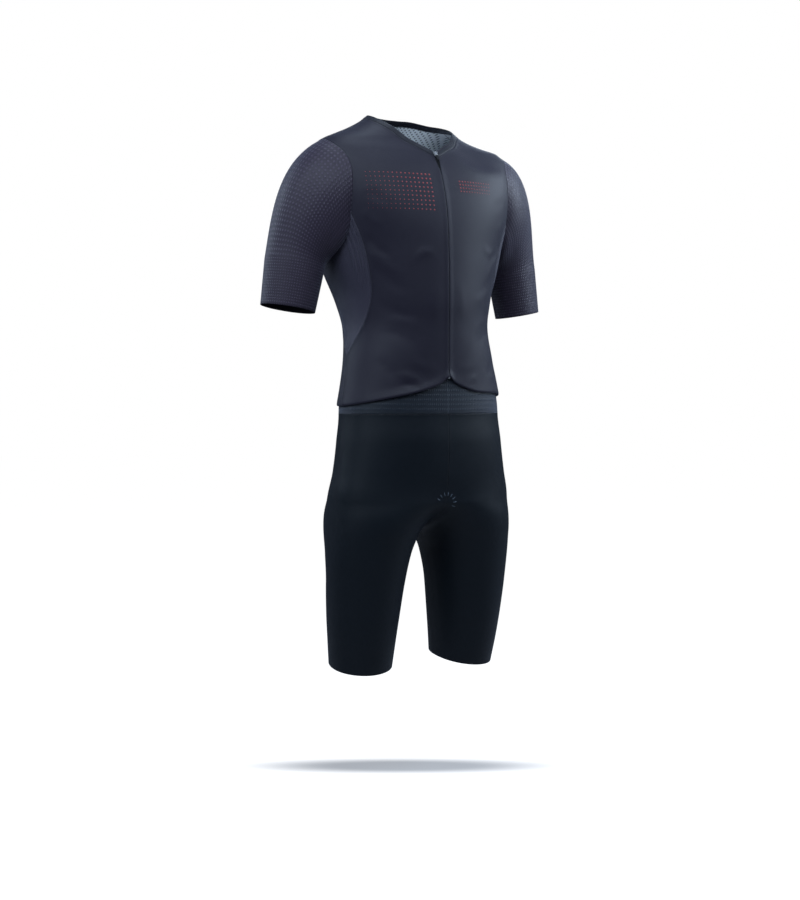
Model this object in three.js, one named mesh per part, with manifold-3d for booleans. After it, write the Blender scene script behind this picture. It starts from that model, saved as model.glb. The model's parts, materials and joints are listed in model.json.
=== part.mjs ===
// A short-sleeved triathlon suit, filled out as if worn, with nobody inside it.
// Millimetres. The front faces -Y, +Z is up and +X is the wearer's left.
// The origin lies midway between the shoulders, at the height of the shoulder line.
import * as THREE from 'three';
import Module from 'manifold-3d';
import { mergeVertices } from 'three/addons/utils/BufferGeometryUtils.js';

const wasm = await Module();
wasm.setup();

// Driving sizes
const CLOTH = 1.5;
const SEAM_GAP = 0.3;
const COLLAR_WIDTH = 11;
const COLLAR_RAISE = 0.7;
const ZIP_EDGE = 4;
const ZIP_BOTTOM = -431;
const RIB_HEIGHT = 1.2;
const SHORTS_TUCK = 3.1;
const WAISTBAND = { top: -415, bottom: -490 };
const TUCK_ENDS = -540;
const HALF = CLOTH / 2;

// Level sections of the trunk, each half an oval in front of its widest line and half behind it
const TRUNK = namedRows(['z', 'half', 'front', 'back', 'widest', 'frontPower', 'backPower'], [
  [44, 62, -36, 54, 12, 2.0, 2.0],
  [30, 74, -42, 62, 12, 2.0, 2.0],
  [18, 88, -46, 72, 12, 2.2, 2.2],
  [0, 119, -53, 84, 13, 2.4, 2.3],
  [-12, 146, -58, 91, 12, 2.4, 2.3],
  [-24, 171, -63, 96, 8, 2.5, 2.4],
  [-45, 183, -77, 106, 5, 2.6, 2.4],
  [-72, 182, -93, 116, 3, 2.7, 2.5],
  [-110, 182, -108, 123, 2, 2.5, 2.6],
  [-140, 179, -116, 125, 2, 2.3, 2.6],
  [-175, 173, -121, 124, 3, 2.1, 2.6],
  [-210, 165, -123, 121, 4, 2.0, 2.6],
  [-245, 156, -124, 115, 4, 2.0, 2.5],
  [-300, 137, -125, 95, 2, 2.1, 2.3],
  [-345, 129, -123, 80, -2, 2.2, 2.1],
  [-400, 135, -123, 78, -14, 2.3, 2.0],
  [-440, 141, -124, 84, -18, 2.3, 2.0],
  [-478, 147, -125, 92, -21, 2.3, 2.0],
  [-520, 147.5, -125, 98, -26, 2.3, 2.0],
  [-560, 151, -124, 104, -29, 2.3, 2.0],
  [-600, 157, -121, 109, -31, 2.3, 2.0],
  [-640, 163, -117, 111, -34, 2.3, 2.0],
]);

// Level sections of one leg of the shorts: its inner and outer sides, front and back
const LEG = namedRows(['z', 'inner', 'outer', 'front', 'back', 'widestIn', 'widestOut'], [
  [-640, -60, 163, -117, 111, -30, -34],
  [-670, -8, 165, -112, 104, -20, -35],
  [-690, 8, 166, -108, 96, -12, -34],
  [-704, 15, 166.5, -104, 88, -9, -32],
  [-730, 24, 167, -98, 74, -6, -28],
  [-780, 33, 166, -88, 62, -2, -20],
  [-830, 39, 163, -79, 62, 2, -12],
  [-880, 44, 158.5, -68, 61, 5, -5],
  [-930, 48, 153, -54, 62, 6, 3],
]);

// Seam lines on the trunk, as degrees round from the centre front and height
const NECK_EDGE = [
  [-8, -56], [0, -44], [12, -25], [32, 0], [60, 16], [90, 25], [125, 29], [180, 30],
];
const HEM_EDGE = [
  [0, -427], [6, -439], [12, -445], [25, -455], [40, -463], [60, -471], [90, -477], [135, -475], [180, -470],
];
const SIDE_TIP = [90, -392];
const SIDE_PANEL_FRONT = [
  SIDE_TIP, [72, -352], [62, -321], [55, -280], [53, -245], [54, -200], [58, -153],
];
const SIDE_PANEL_BACK = [
  SIDE_TIP, [106, -358], [114, -325], [120, -285], [122, -245], [122, -205], [120, -165],
];
const ARMHOLE = [
  [58, -153], [54.5, -128], [51.5, -100], [51, -72], [57, -45], [72, -30],
  [90, -24], [102, -31], [113, -48], [121, -72], [125, -100], [124, -130],
  [120, -165], [118, -178], [112, -195], [100, -215], [90, -221], [80, -215], [68, -198], [61, -175],
];
const ARMHOLE_FRONT_JOIN = 0;
const ARMHOLE_SHOULDER = 6;
const ARMHOLE_BACK_JOIN = 12;

// The left shoulder sits a little lower than the right one, and closer to the neck: each move is
// widest at its peak across the suit, and grows from one height to the other
const LEFT_SHOULDER = {
  drop: { by: 13, inner: 20, peak: 105, outer: 215, from: -88, to: -37 },
  draw: { by: 16, inner: 5, peak: 84, outer: 176, from: -71, to: 10 },
};

// The hem has ridden up a little on the left hip
const RIDDEN_UP = { by: 13, inner: 40, outer: 135, from: -392, to: -455 };

// The trunk's sections are averaged over five heights, a step apart that grows below the shoulders
const AVERAGE = { weights: [1, 4, 6, 4, 1], step: 2, more: 6, from: -40, to: -140 };

// How many steps each seam is cut into, the same on both of the pieces that it joins
const STEPS = { sideSeam: 4, sidePanel: 9, armhole: 8, neck: 6, across: 9, legRound: 22 };
const STEPS_CENTRE = STEPS.sideSeam + STEPS.sidePanel + STEPS.armhole - STEPS.neck;
const RIB_CRESTS = [0.03, 0.09, 0.15, 0.21];
const SIDE_COLUMNS = [
  0, 0.03, 0.06, 0.09, 0.12, 0.15, 0.18, 0.21, 0.24, 0.34, 0.45, 0.56, 0.67, 0.78, 0.89, 1,
];
const RIB_FADE = { full: -245, gone: -290 };

// The sleeve hangs from the armhole to an oval ring level with the armpit, and on to the cuff
const SLEEVE_RING = { centre: [219, 17, -236], long: 52, short: 43, turned: 45, lean: 10.4 };
const CUFF_RING = { centre: [232, 17, -313], long: 47, short: 39, turned: 45, lean: 10.4 };
const SLEEVE_DROOP = { top: 25, more: 45, power: 1.5 };
const SLEEVE_PULL = { start: 1.12, end: 0.9 };
const SLEEVE_ROWS = { cap: 7, cuff: 3 };

// The shorts
const BLEND_TO_LEGS = { from: -590, to: -660 };
const CROTCH_SOFTNESS = 28;
const HEM_PLANE = { height: -920, slopeBack: 0.19, slopeIn: 0.068, centre: [101, 4], from: -760 };
const RAY_CENTRE = { high: 84, low: 100, y: -8 };

const CROTCH_BETWEEN = { high: -640, low: -740, front: -70, back: 70 };
const OUTSIDE = 260;
const INSIDE_LEG = { turn: 165, more: 8, fade: 15 };

// How many times a root is halved, a middle narrowed, and a nearest place corrected
const HALVINGS = 34;
const NARROWINGS = 40;
const CORRECTIONS = 6;

// Edges that bend by less than this cosine are drawn in along one direction
const NEARLY_STRAIGHT = 0.97;
const FURTHEST_MOVE = 5;

// Helpers for tables and smooth steps
function namedRows(columns, rows) {
  return rows.map((row) => Object.fromEntries(columns.map((name, i) => [name, row[i]])));
}

function mix(a, b, t) {
  return a + (b - a) * t;
}

function smooth(from, to, value) {
  const t = Math.min(1, Math.max(0, (value - from) / (to - from)));
  return t * t * (3 - 2 * t);
}

function hermite(a, b, slopeA, slopeB, t) {
  const t2 = t * t;
  const t3 = t2 * t;
  return a * (2 * t3 - 3 * t2 + 1) + slopeA * (t3 - 2 * t2 + t)
    + b * (3 * t2 - 2 * t3) + slopeB * (t3 - t2);
}

// A smooth curve through the rows of a table that never swings past them
function smoothTable(table) {
  const rows = [...table].sort((a, b) => a.z - b.z);
  const names = Object.keys(rows[0]).filter((name) => name !== 'z');
  const rises = rows.slice(1).map((row, i) => row.z - rows[i].z);
  const slopes = rows.map(() => ({}));
  for (const name of names) {
    const grades = rises.map((rise, i) => (rows[i + 1][name] - rows[i][name]) / rise);
    rows.forEach((row, i) => {
      const before = grades[i - 1] ?? grades[0];
      const after = grades[i] ?? grades[grades.length - 1];
      slopes[i][name] = before * after > 0 ? 2 / (1 / before + 1 / after) : 0;
    });
  }
  return (z) => {
    let i = 0;
    while (i < rises.length - 1 && z > rows[i + 1].z) i += 1;
    const t = Math.min(1, Math.max(0, (z - rows[i].z) / rises[i]));
    const section = {};
    for (const name of names) {
      section[name] = hermite(rows[i][name], rows[i + 1][name],
        slopes[i][name] * rises[i], slopes[i + 1][name] * rises[i], t);
    }
    return section;
  };
}

const trunkTable = smoothTable(TRUNK);
const legTable = smoothTable(LEG);

// The trunk's section at a height, averaged over a little height so that no row shows as a ridge
function trunkSection(z) {
  const { weights, step, more, from, to } = AVERAGE;
  const apart = step + more * smooth(from, to, z);
  const middle = (weights.length - 1) / 2;
  const all = weights.reduce((sum, weight) => sum + weight);
  const total = {};
  weights.forEach((weight, i) => {
    const section = trunkTable(z + (i - middle) * apart);
    for (const name of Object.keys(section)) {
      total[name] = (total[name] ?? 0) + section[name] * weight / all;
    }
  });
  return total;
}

// A point of the trunk, `around` degrees from the centre front towards +X, at height z
function onTrunk(around, z) {
  const s = trunkSection(z);
  const angle = THREE.MathUtils.degToRad(around);
  const across = Math.sin(angle);
  const ahead = Math.cos(angle);
  const power = ahead > 0 ? s.frontPower : s.backPower;
  const depth = ahead > 0 ? s.widest - s.front : s.back - s.widest;
  const reach = (Math.abs(across) ** power + Math.abs(ahead) ** power) ** (-1 / power);
  return new THREE.Vector3(s.half * reach * across, s.widest - depth * reach * ahead, z);
}

function trunkNormal(around, z) {
  const du = onTrunk(around + 0.2, z).sub(onTrunk(around - 0.2, z));
  const dz = onTrunk(around, z + 0.5).sub(onTrunk(around, z - 0.5));
  return du.cross(dz).normalize();
}

function trunkVertex({ around, z, lift = 0 }) {
  return { p: onTrunk(around, z), n: trunkNormal(around, z), lift };
}

// The nearest place on the trunk to a point close to it
function nearestOnTrunk(point, around, z) {
  let place = { around, z };
  for (let pass = 0; pass < CORRECTIONS; pass += 1) {
    const here = onTrunk(place.around, place.z);
    const du = onTrunk(place.around + 0.1, place.z).sub(here).multiplyScalar(10);
    const dz = onTrunk(place.around, place.z + 0.1).sub(here).multiplyScalar(10);
    const miss = point.clone().sub(here);
    const [a, b, c] = [du.dot(du), du.dot(dz), dz.dot(dz)];
    const det = a * c - b * b;
    place = {
      around: place.around + (c * du.dot(miss) - b * dz.dot(miss)) / det,
      z: place.z + (a * dz.dot(miss) - b * du.dot(miss)) / det,
    };
  }
  return place;
}

// A smooth line on the trunk through places given as [around, z]; marks count off those places
function seamLine(corners, closed = false) {
  const places = corners.map(([around, z]) => ({ around, z, p: onTrunk(around, z) }));
  const count = places.length;
  const spans = closed ? count : count - 1;
  const at = (i) => places[closed ? (i + count) % count : Math.min(count - 1, Math.max(0, i))];
  const slope = (i, key) => {
    const [before, here, after] = [at(i - 1), at(i), at(i + 1)];
    const chordBefore = before.p.distanceTo(here.p);
    const chordAfter = here.p.distanceTo(after.p);
    if (chordBefore === 0) return (after[key] - here[key]) / chordAfter;
    if (chordAfter === 0) return (here[key] - before[key]) / chordBefore;
    return ((here[key] - before[key]) / chordBefore * chordAfter
      + (after[key] - here[key]) / chordAfter * chordBefore) / (chordBefore + chordAfter);
  };
  const line = [];
  const steps = 16;
  for (let i = 0; i < spans; i += 1) {
    const chord = at(i).p.distanceTo(at(i + 1).p);
    for (let k = 0; k < steps; k += 1) {
      const place = { mark: i + k / steps };
      for (const key of ['around', 'z']) {
        place[key] = hermite(at(i)[key], at(i + 1)[key],
          slope(i, key) * chord, slope(i + 1, key) * chord, k / steps);
      }
      line.push(place);
    }
  }
  line.push({ mark: spans, around: at(spans).around, z: at(spans).z });
  return line;
}

// The stretch of a line between two values of a measure that rises along it
function stretch(line, measure, from, to) {
  const cut = (value) => {
    const i = Math.max(1, line.findIndex((place) => measure(place) >= value));
    const [a, b] = [line[i - 1], line[i]];
    const t = (value - measure(a)) / (measure(b) - measure(a));
    return { around: mix(a.around, b.around, t), z: mix(a.z, b.z, t) };
  };
  const inside = line.filter((place) => measure(place) > from && measure(place) < to);
  const ends = [from, to].map((value) => (measure(line[line.length - 1]) <= value
    ? line[line.length - 1] : cut(value)));
  return [ends[0], ...inside, ends[1]];
}

// Places along a line at given fractions of its length
function spaced(line, fractions) {
  const points = line.map((place) => onTrunk(place.around, place.z));
  const run = [0];
  for (let i = 1; i < points.length; i += 1) run.push(run[i - 1] + points[i].distanceTo(points[i - 1]));
  return fractions.map((fraction) => {
    const want = fraction * run[run.length - 1];
    let i = 1;
    while (i < run.length - 1 && run[i] < want) i += 1;
    const t = (want - run[i - 1]) / Math.max(1e-9, run[i] - run[i - 1]);
    return { around: mix(line[i - 1].around, line[i].around, t), z: mix(line[i - 1].z, line[i].z, t) };
  });
}

function evenly(steps) {
  return Array.from({ length: steps + 1 }, (_, i) => i / steps);
}

// A patch of the trunk between four seams, filled in smoothly from its edges
function filledPatch(bottom, top, inner, outer, columns) {
  const rows = inner.length - 1;
  return inner.map((_, i) => {
    const t = i / rows;
    return columns.map((s, j) => {
      const place = {};
      for (const key of ['around', 'z']) {
        const corners = (1 - t) * mix(bottom[0][key], bottom[bottom.length - 1][key], s)
          + t * mix(top[0][key], top[top.length - 1][key], s);
        place[key] = mix(bottom[j][key], top[j][key], t) + mix(inner[i][key], outer[i][key], s) - corners;
      }
      return place;
    });
  });
}

// The vertices round the edge of a grid, in order, each once
function gridEdge(grid) {
  const last = grid.length - 1;
  const width = grid[0].length - 1;
  const between = grid.slice(1, last);
  const edge = [
    ...grid[0].map((vertex) => ({ vertex, side: 'bottom', row: 0 })),
    ...between.map((row, i) => ({ vertex: row[width], side: 'outer', row: i + 1 })),
    ...[...grid[last]].reverse().map((vertex) => ({ vertex, side: 'top', row: last })),
    ...between.map((row, i) => ({ vertex: row[0], side: 'inner', row: i + 1 })).reverse(),
  ];
  return edge.filter((item, i) => item.vertex !== edge[(i + 1) % edge.length].vertex);
}

// Draws a patch in from its sewn edges, within the cloth, by the distance that each edge calls for
function drawIn(grid, clearOf) {
  const edge = gridEdge(grid);
  const count = edge.length;
  const middle = edge.reduce((sum, item) => sum.add(item.vertex.p), new THREE.Vector3())
    .divideScalar(count);
  let turn = 0;
  edge.forEach(({ vertex }, i) => {
    const arm = vertex.p.clone().sub(middle);
    const nextArm = edge[(i + 1) % count].vertex.p.clone().sub(middle);
    turn += arm.cross(nextArm).dot(vertex.n);
  });
  const clearance = (a, b, vertex) => {
    const side = a.side === b.side || b.side === 'inner' || b.side === 'outer' ? b.side : a.side;
    return clearOf(side, Math.min(a.row, b.row), vertex);
  };
  const moves = edge.map((here, i) => {
    const before = edge[(i + count - 1) % count];
    const after = edge[(i + 1) % count];
    const inward = (from, to) => here.vertex.n.clone()
      .cross(to.vertex.p.clone().sub(from.vertex.p)).normalize().multiplyScalar(Math.sign(turn));
    const sides = [inward(before, here), inward(here, after)];
    const clear = [clearance(before, here, here.vertex), clearance(here, after, here.vertex)];
    const bend = sides[0].dot(sides[1]);
    if (bend > NEARLY_STRAIGHT) {
      return sides[0].add(sides[1]).normalize().multiplyScalar((clear[0] + clear[1]) / 2);
    }
    const weight = (mine, other) => (mine - bend * other) / (1 - bend * bend);
    const move = sides[0].multiplyScalar(weight(clear[0], clear[1]))
      .add(sides[1].multiplyScalar(weight(clear[1], clear[0])));
    return move.clampLength(0, FURTHEST_MOVE * Math.max(clear[0], clear[1], SEAM_GAP));
  });
  edge.forEach(({ vertex }, i) => vertex.p.add(moves[i]));
  return grid;
}

// Joins vertices that share a place, and lists the triangles over a grid of them
function patchFromGrids(grids, closed = false) {
  const patch = { points: [], normals: [], lifts: [], faces: [] };
  const known = new Map();
  const index = (vertex) => {
    const key = vertex.p.toArray().map((value) => Math.round(value * 1e4)).join();
    if (!known.has(key)) {
      known.set(key, patch.points.length);
      patch.points.push(vertex.p);
      patch.normals.push(vertex.n);
      patch.lifts.push(vertex.lift ?? 0);
    }
    return known.get(key);
  };
  const add = (...corners) => {
    const [a, b, c] = corners.map(index);
    if (a === b || b === c || c === a) return;
    const [pa, pb, pc] = [a, b, c].map((i) => patch.points[i]);
    const normal = pb.clone().sub(pa).cross(pc.clone().sub(pa));
    const outwards = [a, b, c].reduce((sum, i) => sum + normal.dot(patch.normals[i]), 0);
    patch.faces.push(outwards > 0 ? [a, b, c] : [a, c, b]);
  };
  for (const grid of grids) {
    for (let i = 0; i < grid.length - 1; i += 1) {
      const width = grid[i].length;
      for (let j = 0; j < (closed ? width : width - 1); j += 1) {
        const next = (j + 1) % width;
        add(grid[i][j], grid[i][next], grid[i + 1][next]);
        add(grid[i][j], grid[i + 1][next], grid[i + 1][j]);
      }
    }
  }
  patch.add = add;
  return patch;
}

function flip(v) {
  return new THREE.Vector3(-v.x, v.y, v.z);
}

function mirrored(patch) {
  return {
    points: patch.points.map(flip),
    normals: patch.normals.map(flip),
    lifts: patch.lifts,
    faces: patch.faces.map(([a, b, c]) => [a, c, b]),
  };
}

function settled(p) {
  const share = ({ by, inner, peak, outer, from, to }) => (
    by * smooth(inner, peak, p.x) * (1 - smooth(peak, outer, p.x)) * smooth(from, to, p.z)
  );
  const [drop, draw] = [share(LEFT_SHOULDER.drop), share(LEFT_SHOULDER.draw)];
  p.z -= drop;
  p.x -= draw;
  return p;
}

function riddenUp(patch) {
  for (const p of patch.points) {
    p.z += RIDDEN_UP.by * smooth(RIDDEN_UP.inner, RIDDEN_UP.outer, p.x)
      * smooth(RIDDEN_UP.from, RIDDEN_UP.to, p.z);
  }
  return patch;
}

// A closed wall of cloth: the patch moved out and in along its normals, and joined round its rims
function wall(patch, out = HALF, inside = HALF) {
  const count = patch.points.length;
  const shifted = (distance) => patch.points.map((p, i) => settled(p.clone().addScaledVector(
    patch.normals[i], distance > 0 ? distance + patch.lifts[i] : distance)));
  const points = [...shifted(out), ...shifted(-inside)];
  const rims = new Map();
  for (const face of patch.faces) {
    face.forEach((a, k) => {
      const b = face[(k + 1) % 3];
      if (rims.has(`${b},${a}`)) rims.delete(`${b},${a}`);
      else rims.set(`${a},${b}`, [a, b]);
    });
  }
  const faces = [
    ...patch.faces,
    ...patch.faces.map(([a, b, c]) => [a + count, c + count, b + count]),
  ];
  for (const [a, b] of rims.values()) {
    faces.push([b, a, a + count], [b, a + count, b + count]);
  }
  const geometry = new THREE.BufferGeometry();
  const places = points.flatMap((p) => p.toArray());
  geometry.setAttribute('position', new THREE.Float32BufferAttribute(places, 3));
  geometry.setIndex(faces.flat());
  geometry.computeVertexNormals();
  return geometry;
}

// Materials
function finish(colour, roughness, metalness = 0) {
  return new THREE.MeshStandardMaterial({ color: colour, roughness, metalness });
}

const suit = new THREE.Group();
suit.name = 'triathlon_suit';
const topCloth = finish(0x1c1d27, 0.75);
const sleeveCloth = finish(0x2b2a35, 0.7);
const ribbedCloth = finish(0x20222c, 0.7);
const shortsCloth = finish(0x12181d, 0.65);
const bandCloth = finish(0x15161c, 0.6);
const zipCloth = finish(0x101116, 0.7);
const brightMetal = finish(0xb9bcc2, 0.3, 1);
const darkMetal = finish(0x1a1b1f, 0.45, 0.6);

function addPiece(name, geometry, material) {
  const mesh = new THREE.Mesh(geometry, material);
  mesh.name = name;
  suit.add(mesh);
}

// The left one is made, and the right one is its mirror image
function addPair(name, patch, material, out, inside) {
  addPiece(`${name}_left`, wall(patch, out, inside), material);
  addPiece(`${name}_right`, wall(mirrored(patch), out, inside), material);
}

// The neck seam lies the collar band's width from the neck edge, measured on the cloth
const byAround = (place) => place.around;
const byMark = (place) => place.mark;

function offsetLine(line, distance) {
  const moved = line.slice(1, -1).map((place, i) => {
    const along = onTrunk(line[i + 2].around, line[i + 2].z).sub(onTrunk(line[i].around, line[i].z));
    const away = along.cross(trunkNormal(place.around, place.z)).normalize();
    const target = onTrunk(place.around, place.z).addScaledVector(away, distance);
    return nearestOnTrunk(target, place.around, place.z - distance);
  });
  return [...moved, { around: 180, z: moved.at(-1).z }];
}

// Where a line from the centre front crosses the edge of the zip
function zipCrossing(line) {
  const x = (place) => onTrunk(place.around, place.z).x;
  const i = line.findIndex((place) => x(place) >= ZIP_EDGE);
  const share = (ZIP_EDGE - x(line[i - 1])) / (x(line[i]) - x(line[i - 1]));
  return mix(line[i - 1].around, line[i].around, share);
}

function neckParts(line) {
  return {
    front: spaced(stretch(line, byAround, zipCrossing(line), 90), evenly(STEPS.neck)),
    back: spaced(stretch(line, byAround, 90, 180), evenly(STEPS.neck)),
  };
}

const neckEdge = seamLine(NECK_EDGE);
const neckSeam = offsetLine(neckEdge, COLLAR_WIDTH);
const edgeOfNeck = neckParts(neckEdge);
const neck = neckParts(neckSeam);

// The other seams of the top
const armhole = seamLine(ARMHOLE, true);
const armholeFront = spaced(
  stretch(armhole, byMark, ARMHOLE_FRONT_JOIN, ARMHOLE_SHOULDER), evenly(STEPS.armhole));
const armholeBack = spaced(
  stretch(armhole, byMark, ARMHOLE_SHOULDER, ARMHOLE_BACK_JOIN), evenly(STEPS.armhole)).reverse();
const armpit = spaced(
  stretch(armhole, byMark, ARMHOLE_BACK_JOIN, ARMHOLE.length).reverse(), SIDE_COLUMNS);
const sideFront = spaced(seamLine(SIDE_PANEL_FRONT), evenly(STEPS.sidePanel));
const sideBack = spaced(seamLine(SIDE_PANEL_BACK), evenly(STEPS.sidePanel));
const hem = seamLine(HEM_EDGE);
const hemFront = spaced(stretch(hem, byAround, zipCrossing(hem), 90), evenly(STEPS.across));
const hemBack = spaced(stretch(hem, byAround, 90, 180), evenly(STEPS.across)).reverse();

function straightLine(from, to, steps) {
  return evenly(steps).map((t) => ({ around: mix(from.around, to.around, t), z: mix(from.z, to.z, t) }));
}

const sideTip = { around: SIDE_TIP[0], z: SIDE_TIP[1] };
const shoulderEnd = armholeFront.at(-1);
const sideSeam = straightLine(hemFront.at(-1), sideTip, STEPS.sideSeam);
const centreBack = straightLine(hemBack[0], neck.back.at(-1), STEPS_CENTRE);
const shoulderSeam = straightLine(neck.front.at(-1), shoulderEnd, STEPS.across);

// The place on the trunk at a distance x to one side of the centre front
function aside(x, z) {
  let [low, high] = [-40, 40];
  for (let pass = 0; pass < HALVINGS; pass += 1) {
    const middle = (low + high) / 2;
    if (onTrunk(middle, z).x < x) low = middle;
    else high = middle;
  }
  return { around: (low + high) / 2, z };
}

const centreFront = straightLine(hemFront[0], neck.front[0], STEPS_CENTRE)
  .map((place) => aside(ZIP_EDGE, place.z));

// The sleeve: its ring and cuff, and a column of points from each point of the armhole to the cuff
function ringPoint(ring, turn) {
  const lean = THREE.MathUtils.degToRad(ring.lean);
  const turned = THREE.MathUtils.degToRad(ring.turned);
  const along = ring.long * Math.cos(turn - turned);
  const beside = ring.short * Math.sin(turn - turned);
  const across = along * Math.cos(turned) - beside * Math.sin(turned);
  const back = along * Math.sin(turned) + beside * Math.cos(turned);
  return new THREE.Vector3(Math.cos(lean) * across, back, Math.sin(lean) * across)
    .add(new THREE.Vector3(...ring.centre));
}

function ringAxis(ring) {
  const lean = THREE.MathUtils.degToRad(ring.lean);
  return new THREE.Vector3(Math.sin(lean), 0, -Math.cos(lean));
}

// The armhole from the shoulder down the back, under the arm and up the front
const loop = [
  ...[...armholeBack].reverse(),
  ...[...armpit].reverse().slice(1, -1),
  ...armholeFront.slice(0, -1),
].map(trunkVertex);
const lowest = loop.reduce((best, vertex, i) => (vertex.p.z < loop[best].p.z ? i : best), 0);
const loopRun = [0];
loop.forEach((vertex, i) => loopRun.push(loopRun[i] + vertex.p.distanceTo(loop[(i + 1) % loop.length].p)));

function sleeveColumn(vertex, k) {
  const fall = loop[0].p.z - loop[lowest].p.z;
  const height = (vertex.p.z - loop[lowest].p.z) / fall;
  const turn = k <= lowest
    ? Math.PI * loopRun[k] / loopRun[lowest]
    : Math.PI * (1 + (loopRun[k] - loopRun[lowest]) / (loopRun.at(-1) - loopRun[lowest]));
  const droop = THREE.MathUtils.degToRad(
    SLEEVE_DROOP.top + SLEEVE_DROOP.more * (1 - height) ** SLEEVE_DROOP.power);
  const ring = ringPoint(SLEEVE_RING, turn);
  const cuff = ringPoint(CUFF_RING, turn);
  const chord = ring.distanceTo(vertex.p);
  const start = new THREE.Vector3(Math.cos(droop), 0, -Math.sin(droop))
    .multiplyScalar(chord * SLEEVE_PULL.start);
  const end = ringAxis(SLEEVE_RING).multiplyScalar(chord * SLEEVE_PULL.end);
  const cap = evenly(SLEEVE_ROWS.cap).map((t) => new THREE.Vector3(...['x', 'y', 'z'].map(
    (axis) => hermite(vertex.p[axis], ring[axis], start[axis], end[axis], t))));
  return [...cap, ...evenly(SLEEVE_ROWS.cuff).slice(1).map((t) => ring.clone().lerp(cuff, t))];
}

const sleeveColumns = loop.map(sleeveColumn);

// At the armhole the cloth folds from the trunk to the sleeve; both are drawn in until they clear
const loopFolds = loop.map((vertex, k) => {
  const next = loop[(k + 1) % loop.length];
  const before = loop[(k + loop.length - 1) % loop.length];
  const along = next.p.clone().sub(before.p).normalize();
  const down = sleeveColumns[k][1].clone().sub(vertex.p);
  down.addScaledVector(along, -down.dot(along)).normalize();
  const fold = down.clone().cross(along).angleTo(vertex.n) / 2;
  return { down, draw: (SEAM_GAP / 2 + HALF * Math.sin(fold)) / Math.cos(fold) };
});

function armholeDraw(vertex) {
  const nearest = loop.reduce((best, other, k) => (
    other.p.distanceTo(vertex.p) < loop[best].p.distanceTo(vertex.p) ? k : best), 0);
  return loopFolds[nearest].draw;
}

function sleevePatch() {
  const rows = sleeveColumns[0].length;
  const at = (i, k) => sleeveColumns[(k + loop.length) % loop.length][Math.min(rows - 1, Math.max(0, i))];
  const grid = Array.from({ length: rows }, (_, i) => loop.map((__, k) => {
    const round = at(i, k + 1).clone().sub(at(i, k - 1));
    const down = at(i + 1, k).clone().sub(at(i - 1, k));
    return { p: at(i, k).clone(), n: down.cross(round).normalize() };
  }));
  grid[0].forEach((vertex, k) => vertex.p.addScaledVector(loopFolds[k].down, loopFolds[k].draw));
  return patchFromGrids([grid], true);
}

// The panels of the top
const sewn = SEAM_GAP / 2;
const armholeStart = STEPS.sideSeam + STEPS.sidePanel;

function panelGrid(hemLine, centre, neckPart, side, armholePart) {
  const grid = filledPatch(
    hemLine, shoulderSeam,
    [...centre, ...neckPart.slice(1)],
    [...sideSeam, ...side.slice(1), ...armholePart.slice(1)],
    evenly(STEPS.across),
  ).map((row) => row.map(trunkVertex));
  return drawIn(grid, (edge, row, vertex) => {
    if (edge === 'bottom') return 0;
    if (edge === 'inner') return row < STEPS_CENTRE ? 0 : sewn;
    return edge === 'outer' && row >= armholeStart ? armholeDraw(vertex) : sewn;
  });
}

function mirrorGrid(grid) {
  return grid.map((row) => row.map(({ p, n, lift }) => ({ p: flip(p), n: flip(n), lift })));
}

function sidePanelGrid() {
  const tipRow = SIDE_COLUMNS.map(() => sideTip);
  const places = filledPatch(tipRow, armpit, sideFront, sideBack, SIDE_COLUMNS);
  const tip = trunkVertex(sideTip);
  const grid = places.map((row, i) => row.map((place, j) => {
    if (i === 0) return tip;
    const crest = RIB_CRESTS.includes(SIDE_COLUMNS[j]);
    const lift = crest ? RIB_HEIGHT * smooth(RIB_FADE.gone, RIB_FADE.full, place.z) : 0;
    return trunkVertex({ ...place, lift });
  }));
  return drawIn(grid, (edge, row, vertex) => (edge === 'top' ? armholeDraw(vertex) : sewn));
}

// The collar band, in two halves that meet at the centre back
function collarGrid() {
  const edge = [...edgeOfNeck.front, ...edgeOfNeck.back.slice(1)];
  const seam = [...neck.front, ...neck.back.slice(1)];
  const grid = [0, 0.5, 1].map((t) => edge.map((place, i) => trunkVertex({
    around: mix(place.around, seam[i].around, t), z: mix(place.z, seam[i].z, t),
  })));
  return drawIn(grid, (side) => (side === 'top' ? sewn : 0));
}

const frontGrid = panelGrid(hemFront, centreFront, neck.front, sideFront, armholeFront);
const backGrid = panelGrid(hemBack, centreBack, [...neck.back].reverse(), sideBack, armholeBack);
const collarHalf = collarGrid();
const front = patchFromGrids([frontGrid]);
addPiece('front_right', wall(mirrored(front)), topCloth);
addPiece('front_left', wall(riddenUp(front)), topCloth);
addPiece('back', wall(riddenUp(patchFromGrids([backGrid, mirrorGrid(backGrid)]))), topCloth);
addPair('side', patchFromGrids([sidePanelGrid()]), ribbedCloth);
addPair('sleeve', sleevePatch(), sleeveCloth);
const collar = patchFromGrids([collarHalf, mirrorGrid(collarHalf)]);
addPiece('collar', wall(collar, HALF + COLLAR_RAISE), bandCloth);

// The zip: a tape behind each front edge, the coil between them, its stop, slider and pull
const TAPE = { from: 1.2, to: 13, front: -1.15, back: 1.95, clear: 2 };
const COIL = { half: 2, front: 0.6, back: 0.7 };
const ZIP_TOP = -46;
const STOP = { width: 5, length: 4, front: 1.6, back: 0.75 };

// A strip down the centre front, on the same rows as the panels' front edges
function zipStrip(xs, top, bottom) {
  const heights = centreFront.map((place) => place.z)
    .filter((z) => z > bottom + TAPE.clear && z < top - TAPE.clear);
  return patchFromGrids([[bottom, ...heights, top].map((z) => xs.map((x) => trunkVertex(aside(x, z))))]);
}

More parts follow.
